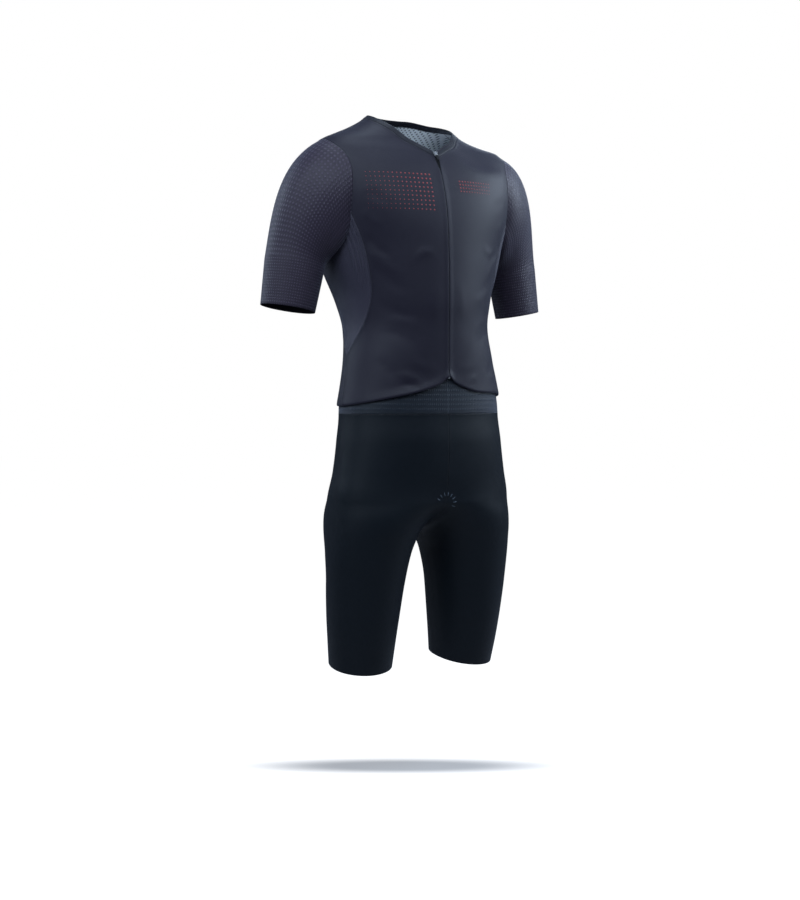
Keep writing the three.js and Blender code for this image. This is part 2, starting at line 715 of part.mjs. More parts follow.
const tapeColumns = [0, 0.33, 0.67, 1].map((t) => mix(TAPE.from, TAPE.to, t));
const tape = zipStrip(tapeColumns, ZIP_TOP, ZIP_BOTTOM + 1);
addPair('zip_tape', tape, zipCloth, TAPE.front, TAPE.back);
const coil = zipStrip([-COIL.half, 0, COIL.half], ZIP_TOP, ZIP_BOTTOM + STOP.length + SEAM_GAP);
addPiece('zip_coil', wall(coil, COIL.front, COIL.back), zipCloth);

// A frame lying on the cloth of the centre front: x across, y up the cloth, z out of it
function frameOnZip(z) {
  const out = trunkNormal(0, z);
  const across = new THREE.Vector3(1, 0, 0);
  const up = out.clone().cross(across);
  return new THREE.Matrix4().makeBasis(across, up, out).setPosition(onTrunk(0, z));
}

const stop = new THREE.BoxGeometry(STOP.width, STOP.length, STOP.front + STOP.back);
stop.translate(0, 0, (STOP.front - STOP.back) / 2);
addPiece('zip_stop', stop.applyMatrix4(frameOnZip(ZIP_BOTTOM + STOP.length / 2)), darkMetal);

const SLIDER = { z: -49, top: 7, bottom: 5.4, length: 10, front: 2.4, back: 0.9, corner: 1.5 };
const EAR = { inside: 1.9, thick: 0.9, length: 3, front: 4.6, up: 2.5 };
const PULL = { axis: 3.6, neck: 3, width: 5, neckLength: 2.4, length: 16, thick: 1, round: 0.8 };

function toSolid(geometry) {
  const bare = geometry.clone();
  bare.deleteAttribute('normal');
  bare.deleteAttribute('uv');
  const merged = mergeVertices(bare, 1e-4);
  return new wasm.Manifold(new wasm.Mesh({
    numProp: 3,
    vertProperties: Float32Array.from(merged.attributes.position.array),
    triVerts: Uint32Array.from(merged.index.array),
  }));
}

function fromSolid(solid) {
  const mesh = solid.getMesh();
  const geometry = new THREE.BufferGeometry();
  geometry.setAttribute('position', new THREE.BufferAttribute(mesh.vertProperties, 3));
  geometry.setIndex(new THREE.BufferAttribute(mesh.triVerts, 1));
  geometry.computeVertexNormals();
  return geometry;
}

function sliderBody() {
  const { top, bottom, length, corner } = SLIDER;
  const outline = new THREE.Shape();
  outline.moveTo(-bottom / 2 + corner, -length / 2);
  outline.lineTo(bottom / 2 - corner, -length / 2);
  outline.quadraticCurveTo(bottom / 2, -length / 2, bottom / 2, -length / 2 + corner);
  outline.lineTo(top / 2, length / 2 - corner);
  outline.quadraticCurveTo(top / 2, length / 2, top / 2 - corner, length / 2);
  outline.lineTo(-top / 2 + corner, length / 2);
  outline.quadraticCurveTo(-top / 2, length / 2, -top / 2, length / 2 - corner);
  outline.lineTo(-bottom / 2, -length / 2 + corner);
  outline.quadraticCurveTo(-bottom / 2, -length / 2, -bottom / 2 + corner, -length / 2);
  const plate = new THREE.ExtrudeGeometry(outline, {
    depth: SLIDER.front - SLIDER.back, bevelEnabled: false, curveSegments: 4,
  });
  plate.translate(0, 0, SLIDER.back);
  let solid = toSolid(plate);
  for (const side of [-1, 1]) {
    const ear = new THREE.BoxGeometry(EAR.thick, EAR.length, EAR.front - SLIDER.back);
    ear.translate(side * (EAR.inside + EAR.thick / 2), EAR.up, (EAR.front + SLIDER.back) / 2);
    solid = solid.add(toSolid(ear));
  }
  return fromSolid(solid);
}

function pullTab() {
  const { neck: neckWidth, width, neckLength, length, thick, round } = PULL;
  const outline = new THREE.Shape();
  outline.moveTo(-neckWidth / 2, round);
  outline.lineTo(-neckWidth / 2, -neckLength);
  outline.lineTo(-width / 2, -neckLength - 1);
  outline.lineTo(-width / 2, -length + width / 2);
  outline.absarc(0, -length + width / 2, width / 2, Math.PI, 2 * Math.PI, false);
  outline.lineTo(width / 2, -neckLength - 1);
  outline.lineTo(neckWidth / 2, -neckLength);
  outline.lineTo(neckWidth / 2, round);
  outline.closePath();
  const tab = new THREE.ExtrudeGeometry(outline, { depth: thick, bevelEnabled: false, curveSegments: 8 });
  tab.translate(0, EAR.up, PULL.axis - thick / 2);
  return tab;
}

addPiece('zip_slider', sliderBody().applyMatrix4(frameOnZip(SLIDER.z)), brightMetal);
addPiece('zip_pull', pullTab().applyMatrix4(frameOnZip(SLIDER.z)), darkMetal);

// The shorts: a smooth skin that runs from the trunk's sections into one oval round each leg
function ovalDistance(dx, dy, half, depth, power) {
  const gauge = (Math.abs(dx / half) ** power + Math.abs(dy / depth) ** power) ** (1 / power);
  const reach = Math.hypot(dx, dy);
  return reach - reach / Math.max(1e-6, gauge);
}

function trunkDistance(x, y, z) {
  const s = trunkSection(z);
  const dy = y - s.widest;
  return dy < 0
    ? ovalDistance(x, dy, s.half, s.widest - s.front, s.frontPower)
    : ovalDistance(x, dy, s.half, s.back - s.widest, s.backPower);
}

function legDistance(x, y, z) {
  const s = legTable(z);
  const widest = mix(s.widestIn, s.widestOut, (x - s.inner) / (s.outer - s.inner));
  const dy = y - widest;
  const depth = dy < 0 ? widest - s.front : s.back - widest;
  return ovalDistance(x - (s.outer + s.inner) / 2, dy, (s.outer - s.inner) / 2, depth, 2);
}

function softMin(a, b, softness) {
  const share = Math.max(softness - Math.abs(a - b), 0) / softness;
  return Math.min(a, b) - share * share * softness / 4;
}

// Distance from the skin of the shorts, negative inside it
function shortsDistance(x, y, z) {
  const toLegs = smooth(BLEND_TO_LEGS.from, BLEND_TO_LEGS.to, z);
  const tuck = SHORTS_TUCK * smooth(TUCK_ENDS, WAISTBAND.bottom, z);
  const trunk = toLegs < 1 ? trunkDistance(x, y, z) + tuck : 0;
  const legs = toLegs > 0 ? softMin(legDistance(x, y, z), legDistance(-x, y, z), CROTCH_SOFTNESS) : 0;
  return mix(trunk, legs, toLegs);
}

function root(inside, outside, distanceAt) {
  let [near, far] = [inside, outside];
  for (let pass = 0; pass < HALVINGS; pass += 1) {
    const middle = (near + far) / 2;
    if (distanceAt(middle) < 0) near = middle;
    else far = middle;
  }
  return (near + far) / 2;
}

function shortsVertex(x, y, z) {
  const step = 0.4;
  const slope = (dx, dy, dz) => (
    shortsDistance(x + dx, y + dy, z + dz) - shortsDistance(x - dx, y - dy, z - dz));
  const n = new THREE.Vector3(slope(step, 0, 0), slope(0, step, 0), slope(0, 0, step)).normalize();
  return { p: new THREE.Vector3(x, y, z), n };
}

// The place between the legs where the middle line of the shorts is deepest inside
function middleOfCrotch(z) {
  let { front, back } = CROTCH_BETWEEN;
  for (let pass = 0; pass < NARROWINGS; pass += 1) {
    const third = (back - front) / 3;
    if (shortsDistance(0, front + third, z) < shortsDistance(0, back - third, z)) back -= third;
    else front += third;
  }
  return (front + back) / 2;
}

const crotch = root(CROTCH_BETWEEN.high, CROTCH_BETWEEN.low,
  (z) => shortsDistance(0, middleOfCrotch(z), z));
const rayCentreX = (z) => mix(RAY_CENTRE.high, RAY_CENTRE.low, smooth(-640, -900, z));

// The skin met by a ray from inside the leg, `turn` degrees from straight outwards, front positive
function rayVertex(turn, z) {
  const angle = THREE.MathUtils.degToRad(turn);
  const centre = rayCentreX(z);
  const inwards = Math.max(0, -Math.cos(angle));
  const limit = Math.min(OUTSIDE, (centre - SEAM_GAP / 2) / Math.max(1e-6, inwards));
  const reachAt = (height) => root(0, limit, (reach) => shortsDistance(
    centre + reach * Math.cos(angle), RAY_CENTRE.y - reach * Math.sin(angle), height));
  const place = (reach) => [centre + reach * Math.cos(angle), RAY_CENTRE.y - reach * Math.sin(angle)];
  const tilt = smooth(HEM_PLANE.from, HEM_PLANE.height, z);
  let height = z;
  for (let pass = 0; tilt > 0 && pass < 4; pass += 1) {
    const [x, y] = place(reachAt(height));
    height = z + tilt * (HEM_PLANE.slopeBack * (y - HEM_PLANE.centre[1])
      - HEM_PLANE.slopeIn * (x - HEM_PLANE.centre[0]));
  }
  const [x, y] = place(reachAt(height));
  return shortsVertex(x, y, height);
}

// One row from the centre front round the outside to the centre back, where the halves are sewn
function openRow(z) {
  const middle = middleOfCrotch(z);
  const front = root(middle, -OUTSIDE, (y) => shortsDistance(SEAM_GAP / 2, y, z));
  const back = root(middle, OUTSIDE, (y) => shortsDistance(SEAM_GAP / 2, y, z));
  const inwards = SEAM_GAP / 2 - rayCentreX(z);
  const turnTo = (y) => THREE.MathUtils.radToDeg(Math.atan2(RAY_CENTRE.y - y, inwards));
  const between = evenly(STEPS.legRound).slice(1, -1)
    .map((t) => rayVertex(mix(turnTo(front), turnTo(back), t), z));
  return [shortsVertex(SEAM_GAP / 2, front, z), ...between, shortsVertex(SEAM_GAP / 2, back, z)];
}

// One row right round a leg below the crotch, with its last point on the inside of the thigh
function closedRow(z) {
  const { turn, more, fade } = INSIDE_LEG;
  const start = turn + more * Math.exp((z - crotch) / fade);
  const round = evenly(STEPS.legRound).map((t) => rayVertex(mix(start, -start, t), z));
  return [...round, rayVertex(180, z)];
}

const bandRows = evenly(3).map((t) => openRow(mix(WAISTBAND.top, WAISTBAND.bottom, t)));
addPair('waistband', patchFromGrids([bandRows]), bandCloth);

const openShares = [0, 0.08, 0.17, 0.29, 0.43, 0.57, 0.71, 0.83, 0.91, 0.965, 1];
const openRows = openShares.map((t) => openRow(mix(WAISTBAND.bottom - SEAM_GAP, crotch + 1, t)));
const closedDrops = [4, 12, 25, 45, 75, 105, 140, 175];
const closedRows = [...closedDrops.map((drop) => crotch - drop), HEM_PLANE.height].map(closedRow);
const joinRows = [openRows.at(-1), closedRows[0].slice(0, -1)];
const leg = patchFromGrids([openRows, joinRows]);
for (let i = 0; i < closedRows.length - 1; i += 1) {
  const [above, below] = [closedRows[i], closedRows[i + 1]];
  above.forEach((vertex, k) => {
    const next = (k + 1) % above.length;
    leg.add(vertex, above[next], below[next]);
    leg.add(vertex, below[next], below[k]);
  });
}
const [underFront, underBack] = [openRows.at(-1)[0], openRows.at(-1).at(-1)];
const inner = closedRows[0].at(-1);
leg.add(underFront, closedRows[0][0], inner);
leg.add(underBack, inner, closedRows[0].at(-2));
leg.add(underFront, inner, underBack);
addPair('leg', leg, shortsCloth);

export default suit;
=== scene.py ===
# %% [markdown]
# # A triathlon suit, filled out as if worn
#
# A one-piece racing suit is cut from a few panels of thin stretch cloth: two fronts, a back, a ribbed
# panel under each arm, two sleeves, a waistband and two legs. It is worn skin tight, so its shape is a
# smooth hollow form rather than a fall of folds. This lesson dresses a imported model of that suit: each
# rigid wall of cloth is replaced by a finer one on the same form, with its seams, stitches, zip teeth,
# prints and soft creases. The front faces -Y, +Z is up, and the sizes in the tables are millimetres.

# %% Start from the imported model
import json
import math

import bmesh
import bpy
import numpy as np
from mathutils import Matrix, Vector
from mathutils.bvhtree import BVHTree

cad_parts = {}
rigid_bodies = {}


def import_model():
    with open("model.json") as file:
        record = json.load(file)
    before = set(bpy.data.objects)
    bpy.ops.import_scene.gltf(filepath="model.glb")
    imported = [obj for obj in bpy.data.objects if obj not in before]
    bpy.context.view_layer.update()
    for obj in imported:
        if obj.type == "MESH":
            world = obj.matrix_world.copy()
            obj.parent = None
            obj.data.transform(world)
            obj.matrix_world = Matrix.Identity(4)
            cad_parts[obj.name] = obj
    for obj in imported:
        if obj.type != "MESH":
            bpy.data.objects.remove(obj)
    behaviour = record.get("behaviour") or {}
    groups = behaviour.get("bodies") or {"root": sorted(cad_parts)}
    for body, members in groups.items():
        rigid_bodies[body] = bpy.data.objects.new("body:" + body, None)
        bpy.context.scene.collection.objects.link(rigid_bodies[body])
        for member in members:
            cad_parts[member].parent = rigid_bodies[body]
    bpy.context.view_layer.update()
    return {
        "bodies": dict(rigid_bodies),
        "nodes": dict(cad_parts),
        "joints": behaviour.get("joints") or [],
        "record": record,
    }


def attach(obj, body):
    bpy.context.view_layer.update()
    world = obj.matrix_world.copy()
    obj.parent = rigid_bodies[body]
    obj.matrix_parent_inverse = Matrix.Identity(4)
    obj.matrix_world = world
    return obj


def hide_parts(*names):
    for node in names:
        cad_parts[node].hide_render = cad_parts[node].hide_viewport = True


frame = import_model()
MM = 0.001
print("nodes:", ", ".join(sorted(frame["nodes"])))

# %% [markdown]
# ## The camera and the studio
#
# The suit is seen from its right front quarter by a level camera with a long lens. The lens follows from
# two measures: how far away the camera stands, and how many millimetres of the suit one pixel shows
# there. A small shift, rather than a tilt, puts the suit high in the frame, so its sides stay upright.

# %% The camera
IMAGE = {"width": 800, "height": 900}
CAMERA = {"away": 2700, "turned": 30, "level": -450, "pixel": 1.75, "seen_at": (412, 390)}


def make_camera():
    """A level camera that looks at the suit's middle line, with its frame shifted to place it."""
    turned = math.radians(CAMERA["turned"])
    ahead = Vector((math.sin(turned), math.cos(turned), 0))
    data = bpy.data.cameras.new("camera")
    data.sensor_width = 36
    longest = max(IMAGE.values())
    data.lens = data.sensor_width * CAMERA["away"] / CAMERA["pixel"] / longest
    across, down = CAMERA["seen_at"]
    data.shift_x = (IMAGE["width"] / 2 - across) / longest
    data.shift_y = (down - IMAGE["height"] / 2) / longest
    data.clip_end = 100
    camera = bpy.data.objects.new("camera", data)
    camera.location = Vector((0, 0, CAMERA["level"] * MM)) - ahead * CAMERA["away"] * MM
    camera.rotation_mode = "QUATERNION"
    camera.rotation_quaternion = ahead.to_track_quat("-Z", "Y")
    bpy.context.scene.collection.objects.link(camera)
    bpy.context.scene.camera = camera
    return camera


camera = make_camera()
print("lens, mm:", round(camera.data.lens, 1))

# %% [markdown]
# Near-black cloth only shows its form by soft reflections, so the lights are large, weak and stand all
# round, each placed by its bearing: the strongest are above the chest and beyond each shoulder, where
# the long highlights run down the flanks, and they fall off towards the legs. A few watts are enough
# this near. The floor and the backdrop would light the dark edges from below and behind, so both look
# white to the camera and give the suit no light of their own. The suit hangs well above that floor, and
# the thin shadow below it is a dimmer ellipse in the floor's own glow.

# %% Lights, floor and world
LIGHT_DISTANCE = 1.5
LIGHTS = {
    # name: bearing from the front in degrees, towards the suit's left, height in metres, watts
    "chest": (-4, 0.8, 5.2),
    "right_shoulder": (-78, 0.7, 4.2),
    "left_shoulder": (76, 0.5, 8.6),
    "left_flank": (62, -0.05, 2.6),
    "right_flank": (-80, -0.1, 1.1),
    "camera_side": (-48, 0.9, 5.4),
    "left_back": (140, 0.4, 3.0),
    "right_back": (-140, 0.2, 3.0),
}
TOP_LIGHT = {"height": 1.2, "watts": 3.6}
LIGHT_SIZE = 0.8
LIGHT_COLOUR = (0.72, 0.85, 1.0)
LIGHT_SPREAD = 130
FLOOR_HEIGHT = -1106
FLOOR_HALF = 12
SHADOW = {"centre": (-17, 2), "size": (305, 62), "turned": -30, "darkest": 0.25, "from": 0.35, "to": 1.15}


def add_light(name, place, aim, watts):
    data = bpy.data.lights.new(name, "AREA")
    data.size = LIGHT_SIZE
    data.energy = watts
    data.color = LIGHT_COLOUR
    data.spread = math.radians(LIGHT_SPREAD)
    lamp = bpy.data.objects.new(name, data)
    lamp.location = place
    lamp.rotation_mode = "QUATERNION"
    lamp.rotation_quaternion = (Vector(aim) - Vector(place)).to_track_quat("-Z", "Y")
    bpy.context.scene.collection.objects.link(lamp)


def make_floor():
    """A floor that glows white for the camera alone, but for a thin soft shadow below the suit. It
    throws only a little of the lamps' light back at the legs."""
    mesh = bpy.data.meshes.new("floor")
    corners = [(x * FLOOR_HALF, y * FLOOR_HALF, FLOOR_HEIGHT * MM) for x, y in
               ((-1, -1), (1, -1), (1, 1), (-1, 1))]
    mesh.from_pydata(corners, [], [(0, 1, 2, 3)])
    floor = bpy.data.objects.new("floor", mesh)
    bpy.context.scene.collection.objects.link(floor)
    material = bpy.data.materials.new("pale_floor")
    material.use_nodes = True
    tree = material.node_tree
    shader = tree.nodes["Principled BSDF"]
    shader.inputs["Base Color"].default_value = (0.36, 0.36, 0.38, 1)
    shader.inputs["Roughness"].default_value = 1
    shader.inputs["Specular IOR Level"].default_value = 0
    shader.inputs["Emission Color"].default_value = (1, 1, 1, 1)
    place = tree.nodes.new("ShaderNodeTexCoord").outputs["Object"]
    laid = tree.nodes.new("ShaderNodeMapping")
    laid.vector_type = "TEXTURE"
    laid.inputs["Location"].default_value = [side * MM for side in (*SHADOW["centre"], FLOOR_HEIGHT)]
    laid.inputs["Rotation"].default_value = (0, 0, math.radians(SHADOW["turned"]))
    laid.inputs["Scale"].default_value = [side * MM for side in (*SHADOW["size"], 1000)]
    reach = tree.nodes.new("ShaderNodeVectorMath")
    reach.operation = "LENGTH"
    glow = tree.nodes.new("ShaderNodeMapRange")
    glow.interpolation_type = "SMOOTHSTEP"
    glow.inputs["From Min"].default_value = SHADOW["from"]
    glow.inputs["From Max"].default_value = SHADOW["to"]
    glow.inputs["To Min"].default_value = SHADOW["darkest"]
    seen = tree.nodes.new("ShaderNodeMath")
    seen.operation = "MULTIPLY"
    path = tree.nodes.new("ShaderNodeLightPath")
    tree.links.new(place, laid.inputs["Vector"])
    tree.links.new(laid.outputs[0], reach.inputs[0])
    tree.links.new(reach.outputs["Value"], glow.inputs["Value"])
    tree.links.new(glow.outputs[0], seen.inputs[0])
    tree.links.new(path.outputs["Is Camera Ray"], seen.inputs[1])
    tree.links.new(seen.outputs[0], shader.inputs["Emission Strength"])
    mesh.materials.append(material)


def make_world():
    """White where the camera looks at it, and no light for anything else."""
    world = bpy.data.worlds.new("studio")
    world.use_nodes = True
    tree = world.node_tree
    white = tree.nodes["Background"]
    white.inputs["Color"].default_value = (1, 1, 1, 1)
    path = tree.nodes.new("ShaderNodeLightPath")
    tree.links.new(path.outputs["Is Camera Ray"], white.inputs["Strength"])
    bpy.context.scene.world = world


for name, (bearing, height, watts) in LIGHTS.items():
    turned = math.radians(bearing)
    place = (math.sin(turned) * LIGHT_DISTANCE, -math.cos(turned) * LIGHT_DISTANCE, height)
    add_light(name, place, (0, 0, -0.3 if height > 0 else -0.45), watts)
add_light("top", (0, 0, TOP_LIGHT["height"]), (0, 0, 0), TOP_LIGHT["watts"])
make_floor()
make_world()
bpy.context.scene.view_settings.view_transform = "Standard"
print("lights:", ", ".join(LIGHTS))

# %% [markdown]
# ## A smooth form from a few level sections
#
# A body form could be sculpted, or lofted through curves. Here it is a formula, so that any point of the
# cloth can be asked for by how far round it is and how high. A table gives the sections: half the width,
# the front and back, where the widest line lies, and how square each half is. Between the rows each
# column runs on a smooth curve that never swings past them, and five nearby heights are averaged, so
# that no row of the table shows as a ridge.

# %% The trunk's sections, in millimetres
TRUNK_COLUMNS = ("half", "front", "back", "widest", "front_power", "back_power")
TRUNK_ROWS = [
    (44, 62, -36, 54, 12, 2.0, 2.0),
    (30, 74, -42, 62, 12, 2.0, 2.0),
    (18, 88, -46, 72, 12, 2.2, 2.2),
    (0, 119, -53, 84, 13, 2.4, 2.3),
    (-12, 146, -58, 91, 12, 2.4, 2.3),
    (-24, 171, -63, 96, 8, 2.5, 2.4),
    (-45, 183, -77, 106, 5, 2.6, 2.4),
    (-72, 182, -93, 116, 3, 2.7, 2.5),
    (-110, 182, -108, 123, 2, 2.5, 2.6),
    (-140, 179, -116, 125, 2, 2.3, 2.6),
    (-175, 173, -121, 124, 3, 2.1, 2.6),
    (-210, 165, -123, 121, 4, 2.0, 2.6),
    (-245, 156, -124, 115, 4, 2.0, 2.5),
    (-300, 137, -125, 95, 2, 2.1, 2.3),
    (-345, 129, -123, 80, -2, 2.2, 2.1),
    (-400, 135, -123, 78, -14, 2.3, 2.0),
    (-440, 141, -124, 84, -18, 2.3, 2.0),
    (-478, 147, -125, 92, -21, 2.3, 2.0),
    (-520, 147.5, -125, 98, -26, 2.3, 2.0),
    (-560, 151, -124, 104, -29, 2.3, 2.0),
    (-600, 157, -121, 109, -31, 2.3, 2.0),
    (-640, 163, -117, 111, -34, 2.3, 2.0),
]
LEG_COLUMNS = ("inner", "outer", "front", "back", "widest_in", "widest_out")
LEG_ROWS = [
    (-640, -60, 163, -117, 111, -30, -34),
    (-670, -8, 165, -112, 104, -20, -35),
    (-690, 8, 166, -108, 96, -12, -34),
    (-704, 15, 166.5, -104, 88, -9, -32),
    (-730, 24, 167, -98, 74, -6, -28),
    (-780, 33, 166, -88, 62, -2, -20),
    (-830, 39, 163, -79, 62, 2, -12),
    (-880, 44, 158.5, -68, 61, 5, -5),
    (-930, 48, 153, -54, 62, 6, 3),
]


def smooth(start, end, value):
    """0 at start, 1 at end, with a soft step between them."""
    share = np.clip((np.asarray(value, float) - start) / (end - start), 0, 1)
    return share * share * (3 - 2 * share)


def mix(a, b, share):
    return a + (b - a) * share


def hermite(a, b, slope_a, slope_b, t):
    t2, t3 = t * t, t * t * t
    ends = a * (2 * t3 - 3 * t2 + 1) + b * (3 * t2 - 2 * t3)
    return ends + slope_a * (t3 - 2 * t2 + t) + slope_b * (t3 - t2)


def smooth_table(columns, rows):
    """A function from heights to the table's columns, on curves that stay between its rows."""
    data = np.array(sorted(rows), float)
    heights, values = data[:, 0], data[:, 1:]
    rises = np.diff(heights)[:, None]
    grades = np.diff(values, axis=0) / rises
    before = np.vstack([grades[:1], grades])
    after = np.vstack([grades, grades[-1:]])
    slopes = np.zeros_like(values)
    same = before * after > 0
    slopes[same] = 2 / (1 / before[same] + 1 / after[same])

    def at(z):
        z = np.asarray(z, float)
        i = np.clip(np.searchsorted(heights, z) - 1, 0, len(rises) - 1)
        t = np.clip((z - heights[i]) / rises[i, 0], 0, 1)[..., None]
        found = hermite(values[i], values[i + 1], slopes[i] * rises[i], slopes[i + 1] * rises[i], t)
        return {name: found[..., k] for k, name in enumerate(columns)}

    return at


trunk_table = smooth_table(TRUNK_COLUMNS, TRUNK_ROWS)
leg_table = smooth_table(LEG_COLUMNS, LEG_ROWS)
print("waist, half width in mm:", round(float(trunk_table(-345)["half"])))

# %% Points and normals of the trunk
AVERAGE = {"weights": (1, 4, 6, 4, 1), "step": 2, "more": 6, "start": -40, "end": -140}


def trunk_section(z):
    z = np.asarray(z, float)
    apart = AVERAGE["step"] + AVERAGE["more"] * smooth(AVERAGE["start"], AVERAGE["end"], z)
    total = dict.fromkeys(TRUNK_COLUMNS, 0)
    for i, weight in enumerate(AVERAGE["weights"]):
        section = trunk_table(z + (i - 2) * apart)
        for name in TRUNK_COLUMNS:
            total[name] = total[name] + section[name] * weight / sum(AVERAGE["weights"])
    return total


def on_trunk(around, z):
    """Points `around` degrees from the centre front towards +X, at height z, in millimetres."""
    around, z = np.broadcast_arrays(np.asarray(around, float), np.asarray(z, float))
    s = trunk_section(z)
    across, ahead = np.sin(np.radians(around)), np.cos(np.radians(around))
    power = np.where(ahead > 0, s["front_power"], s["back_power"])
    depth = np.where(ahead > 0, s["widest"] - s["front"], s["back"] - s["widest"])
    reach = (np.abs(across) ** power + np.abs(ahead) ** power) ** (-1 / power)
    return np.stack([s["half"] * reach * across, s["widest"] - depth * reach * ahead, z], axis=-1)


def unit(vectors):
    return vectors / np.maximum(np.linalg.norm(vectors, axis=-1, keepdims=True), 1e-12)


def trunk_normal(around, z):
    across = on_trunk(around + 0.2, z) - on_trunk(around - 0.2, z)
    up = on_trunk(around, z + 0.5) - on_trunk(around, z - 0.5)
    return unit(np.cross(across, up))


print("centre front at the chest:", on_trunk(0, -200).round(1))

# %% [markdown]
# ## Cloth for the shaders
#
# Four effects come back in several cloths, so each is a shader node group: the fine ribs of a knit, a
# square grid of small raised dots, soft uneven patches, and a painted shade along a seam, which darkens
# the cloth where its groove would be in shade. A picture of the cloth would repeat and blur; a formula on
# the piece's own UV map, which is in metres over the cloth, stays sharp and follows the cut. The groups
# only give values. Each material keeps its own Principled shader, where its plain numbers are set.

# %% Small helpers for node trees
def add_node(tree, kind, *sources, **settings):
    """Adds a node, and feeds its inputs in order from sockets or plain values; None skips one."""
    made = tree.nodes.new(kind)
    for key, value in settings.items():
        setattr(made, key, value)
    for socket, source in zip(made.inputs, sources):
        if isinstance(source, bpy.types.NodeSocket):
            tree.links.new(source, socket)
        elif source is not None:
            socket.default_value = source
    return made


def calc(tree, operation, *sources):
    return add_node(tree, "ShaderNodeMath", *sources, operation=operation).outputs[0]


def new_group(name, inputs, outputs, kind="ShaderNodeTree"):
    """An empty node group with named sockets, and its input and output nodes."""
    group = bpy.data.node_groups.new(name, kind)
    for label, socket_type, value in inputs:
        socket = group.interface.new_socket(label, in_out="INPUT", socket_type=socket_type)
        if value is not None:
            socket.default_value = value
    for label, socket_type in outputs:
        group.interface.new_socket(label, in_out="OUTPUT", socket_type=socket_type)
    return group, group.nodes.new("NodeGroupInput").outputs, group.nodes.new("NodeGroupOutput").inputs


def place_group(tree, group, *sources):
    made = tree.nodes.new("ShaderNodeGroup")
    made.node_tree = group
    for socket, source in zip(made.inputs, sources):
        if isinstance(source, bpy.types.NodeSocket):
            tree.links.new(source, socket)
        elif source is not None:
            socket.default_value = source
    return made.outputs


# %% The shared effects
def knit_group():
    """The height of a fine knit: columns of loops, each row half a loop from the last."""
    group, given, result = new_group(
        "fine_knit",
        [("Vector", "NodeSocketVector", None), ("Pitch", "NodeSocketFloat", 0.001)],
        [("Height", "NodeSocketFloat")])
    parts = add_node(group, "ShaderNodeSeparateXYZ", given["Vector"]).outputs
    turns = calc(group, "DIVIDE", math.pi, given["Pitch"])
    across = calc(group, "MULTIPLY", parts[0], turns)
    up = calc(group, "MULTIPLY", parts[1], turns)
    column = calc(group, "ABSOLUTE", calc(group, "SINE", across))
    sway = calc(group, "SINE", calc(group, "MULTIPLY", across, 2.0))
    loop = calc(group, "ABSOLUTE", calc(group, "SINE", calc(group, "ADD", up, sway)))
    height = calc(group, "MULTIPLY_ADD", loop, 0.4, calc(group, "MULTIPLY", column, 0.6))
    group.links.new(height, result["Height"])
    return group


def dots_group():
    """1 on each dot of a square grid and 0 between them, with a soft edge."""
    group, given, result = new_group(
        "dot_grid",
        [("Vector", "NodeSocketVector", None), ("Pitch", "NodeSocketFloat", 0.005),
         ("Radius", "NodeSocketFloat", 0.25), ("Softness", "NodeSocketFloat", 0.12)],
        [("Dots", "NodeSocketFloat")])
    parts = add_node(group, "ShaderNodeSeparateXYZ", given["Vector"]).outputs
    offsets = []
    for part in parts[:2]:
        cell = calc(group, "FRACT", calc(group, "DIVIDE", part, given["Pitch"]))
        offsets.append(calc(group, "SUBTRACT", cell, 0.5))
    squares = [calc(group, "MULTIPLY", offset, offset) for offset in offsets]
    reach = calc(group, "SQRT", calc(group, "ADD", *squares))
    edge = add_node(group, "ShaderNodeMapRange", interpolation_type="SMOOTHSTEP")
    group.links.new(reach, edge.inputs["Value"])
    group.links.new(calc(group, "ADD", given["Radius"], given["Softness"]), edge.inputs["From Min"])
    group.links.new(calc(group, "SUBTRACT", given["Radius"], given["Softness"]), edge.inputs["From Max"])
    group.links.new(edge.outputs["Result"], result["Dots"])
    return group


def patches_group():
    """A value around 1 that drifts softly over the piece, as cloth does where it is stretched."""
    group, given, result = new_group(
        "soft_patches",
        [("Vector", "NodeSocketVector", None), ("Scale", "NodeSocketFloat", 9.0),
         ("Strength", "NodeSocketFloat", 0.1)],
        [("Value", "NodeSocketFloat")])
    noise = add_node(group, "ShaderNodeTexNoise", given["Vector"])
    group.links.new(given["Scale"], noise.inputs["Scale"])
    noise.inputs["Detail"].default_value = 3
    centred = calc(group, "SUBTRACT", noise.outputs["Fac"], 0.5)
    value = calc(group, "MULTIPLY_ADD", centred, calc(group, "MULTIPLY", given["Strength"], 2.0), 1.0)
    group.links.new(value, result["Value"])
    return group


def seam_shade_group():
    """Painted shade beside a seam, where its groove would be in shade: how dark the cloth is, read from how
    near each vertex is to one. The ribbed side panels give their troughs this painted shade too.
    """
    group, given, result = new_group(
        "seam_line", [("Depth", "NodeSocketFloat", 0.3)], [("Value", "NodeSocketFloat")])
    near = add_node(group, "ShaderNodeAttribute", attribute_name="seam").outputs["Fac"]
    sharp = calc(group, "POWER", near, 3.0)
    value = calc(group, "SUBTRACT", 1.0, calc(group, "MULTIPLY", sharp, given["Depth"]))
    group.links.new(value, result["Value"])
    return group


KNIT, DOTS, PATCHES, SEAM_SHADE = knit_group(), dots_group(), patches_group(), seam_shade_group()
print("shared effects:", [group.name for group in (KNIT, DOTS, PATCHES, SEAM_SHADE)])
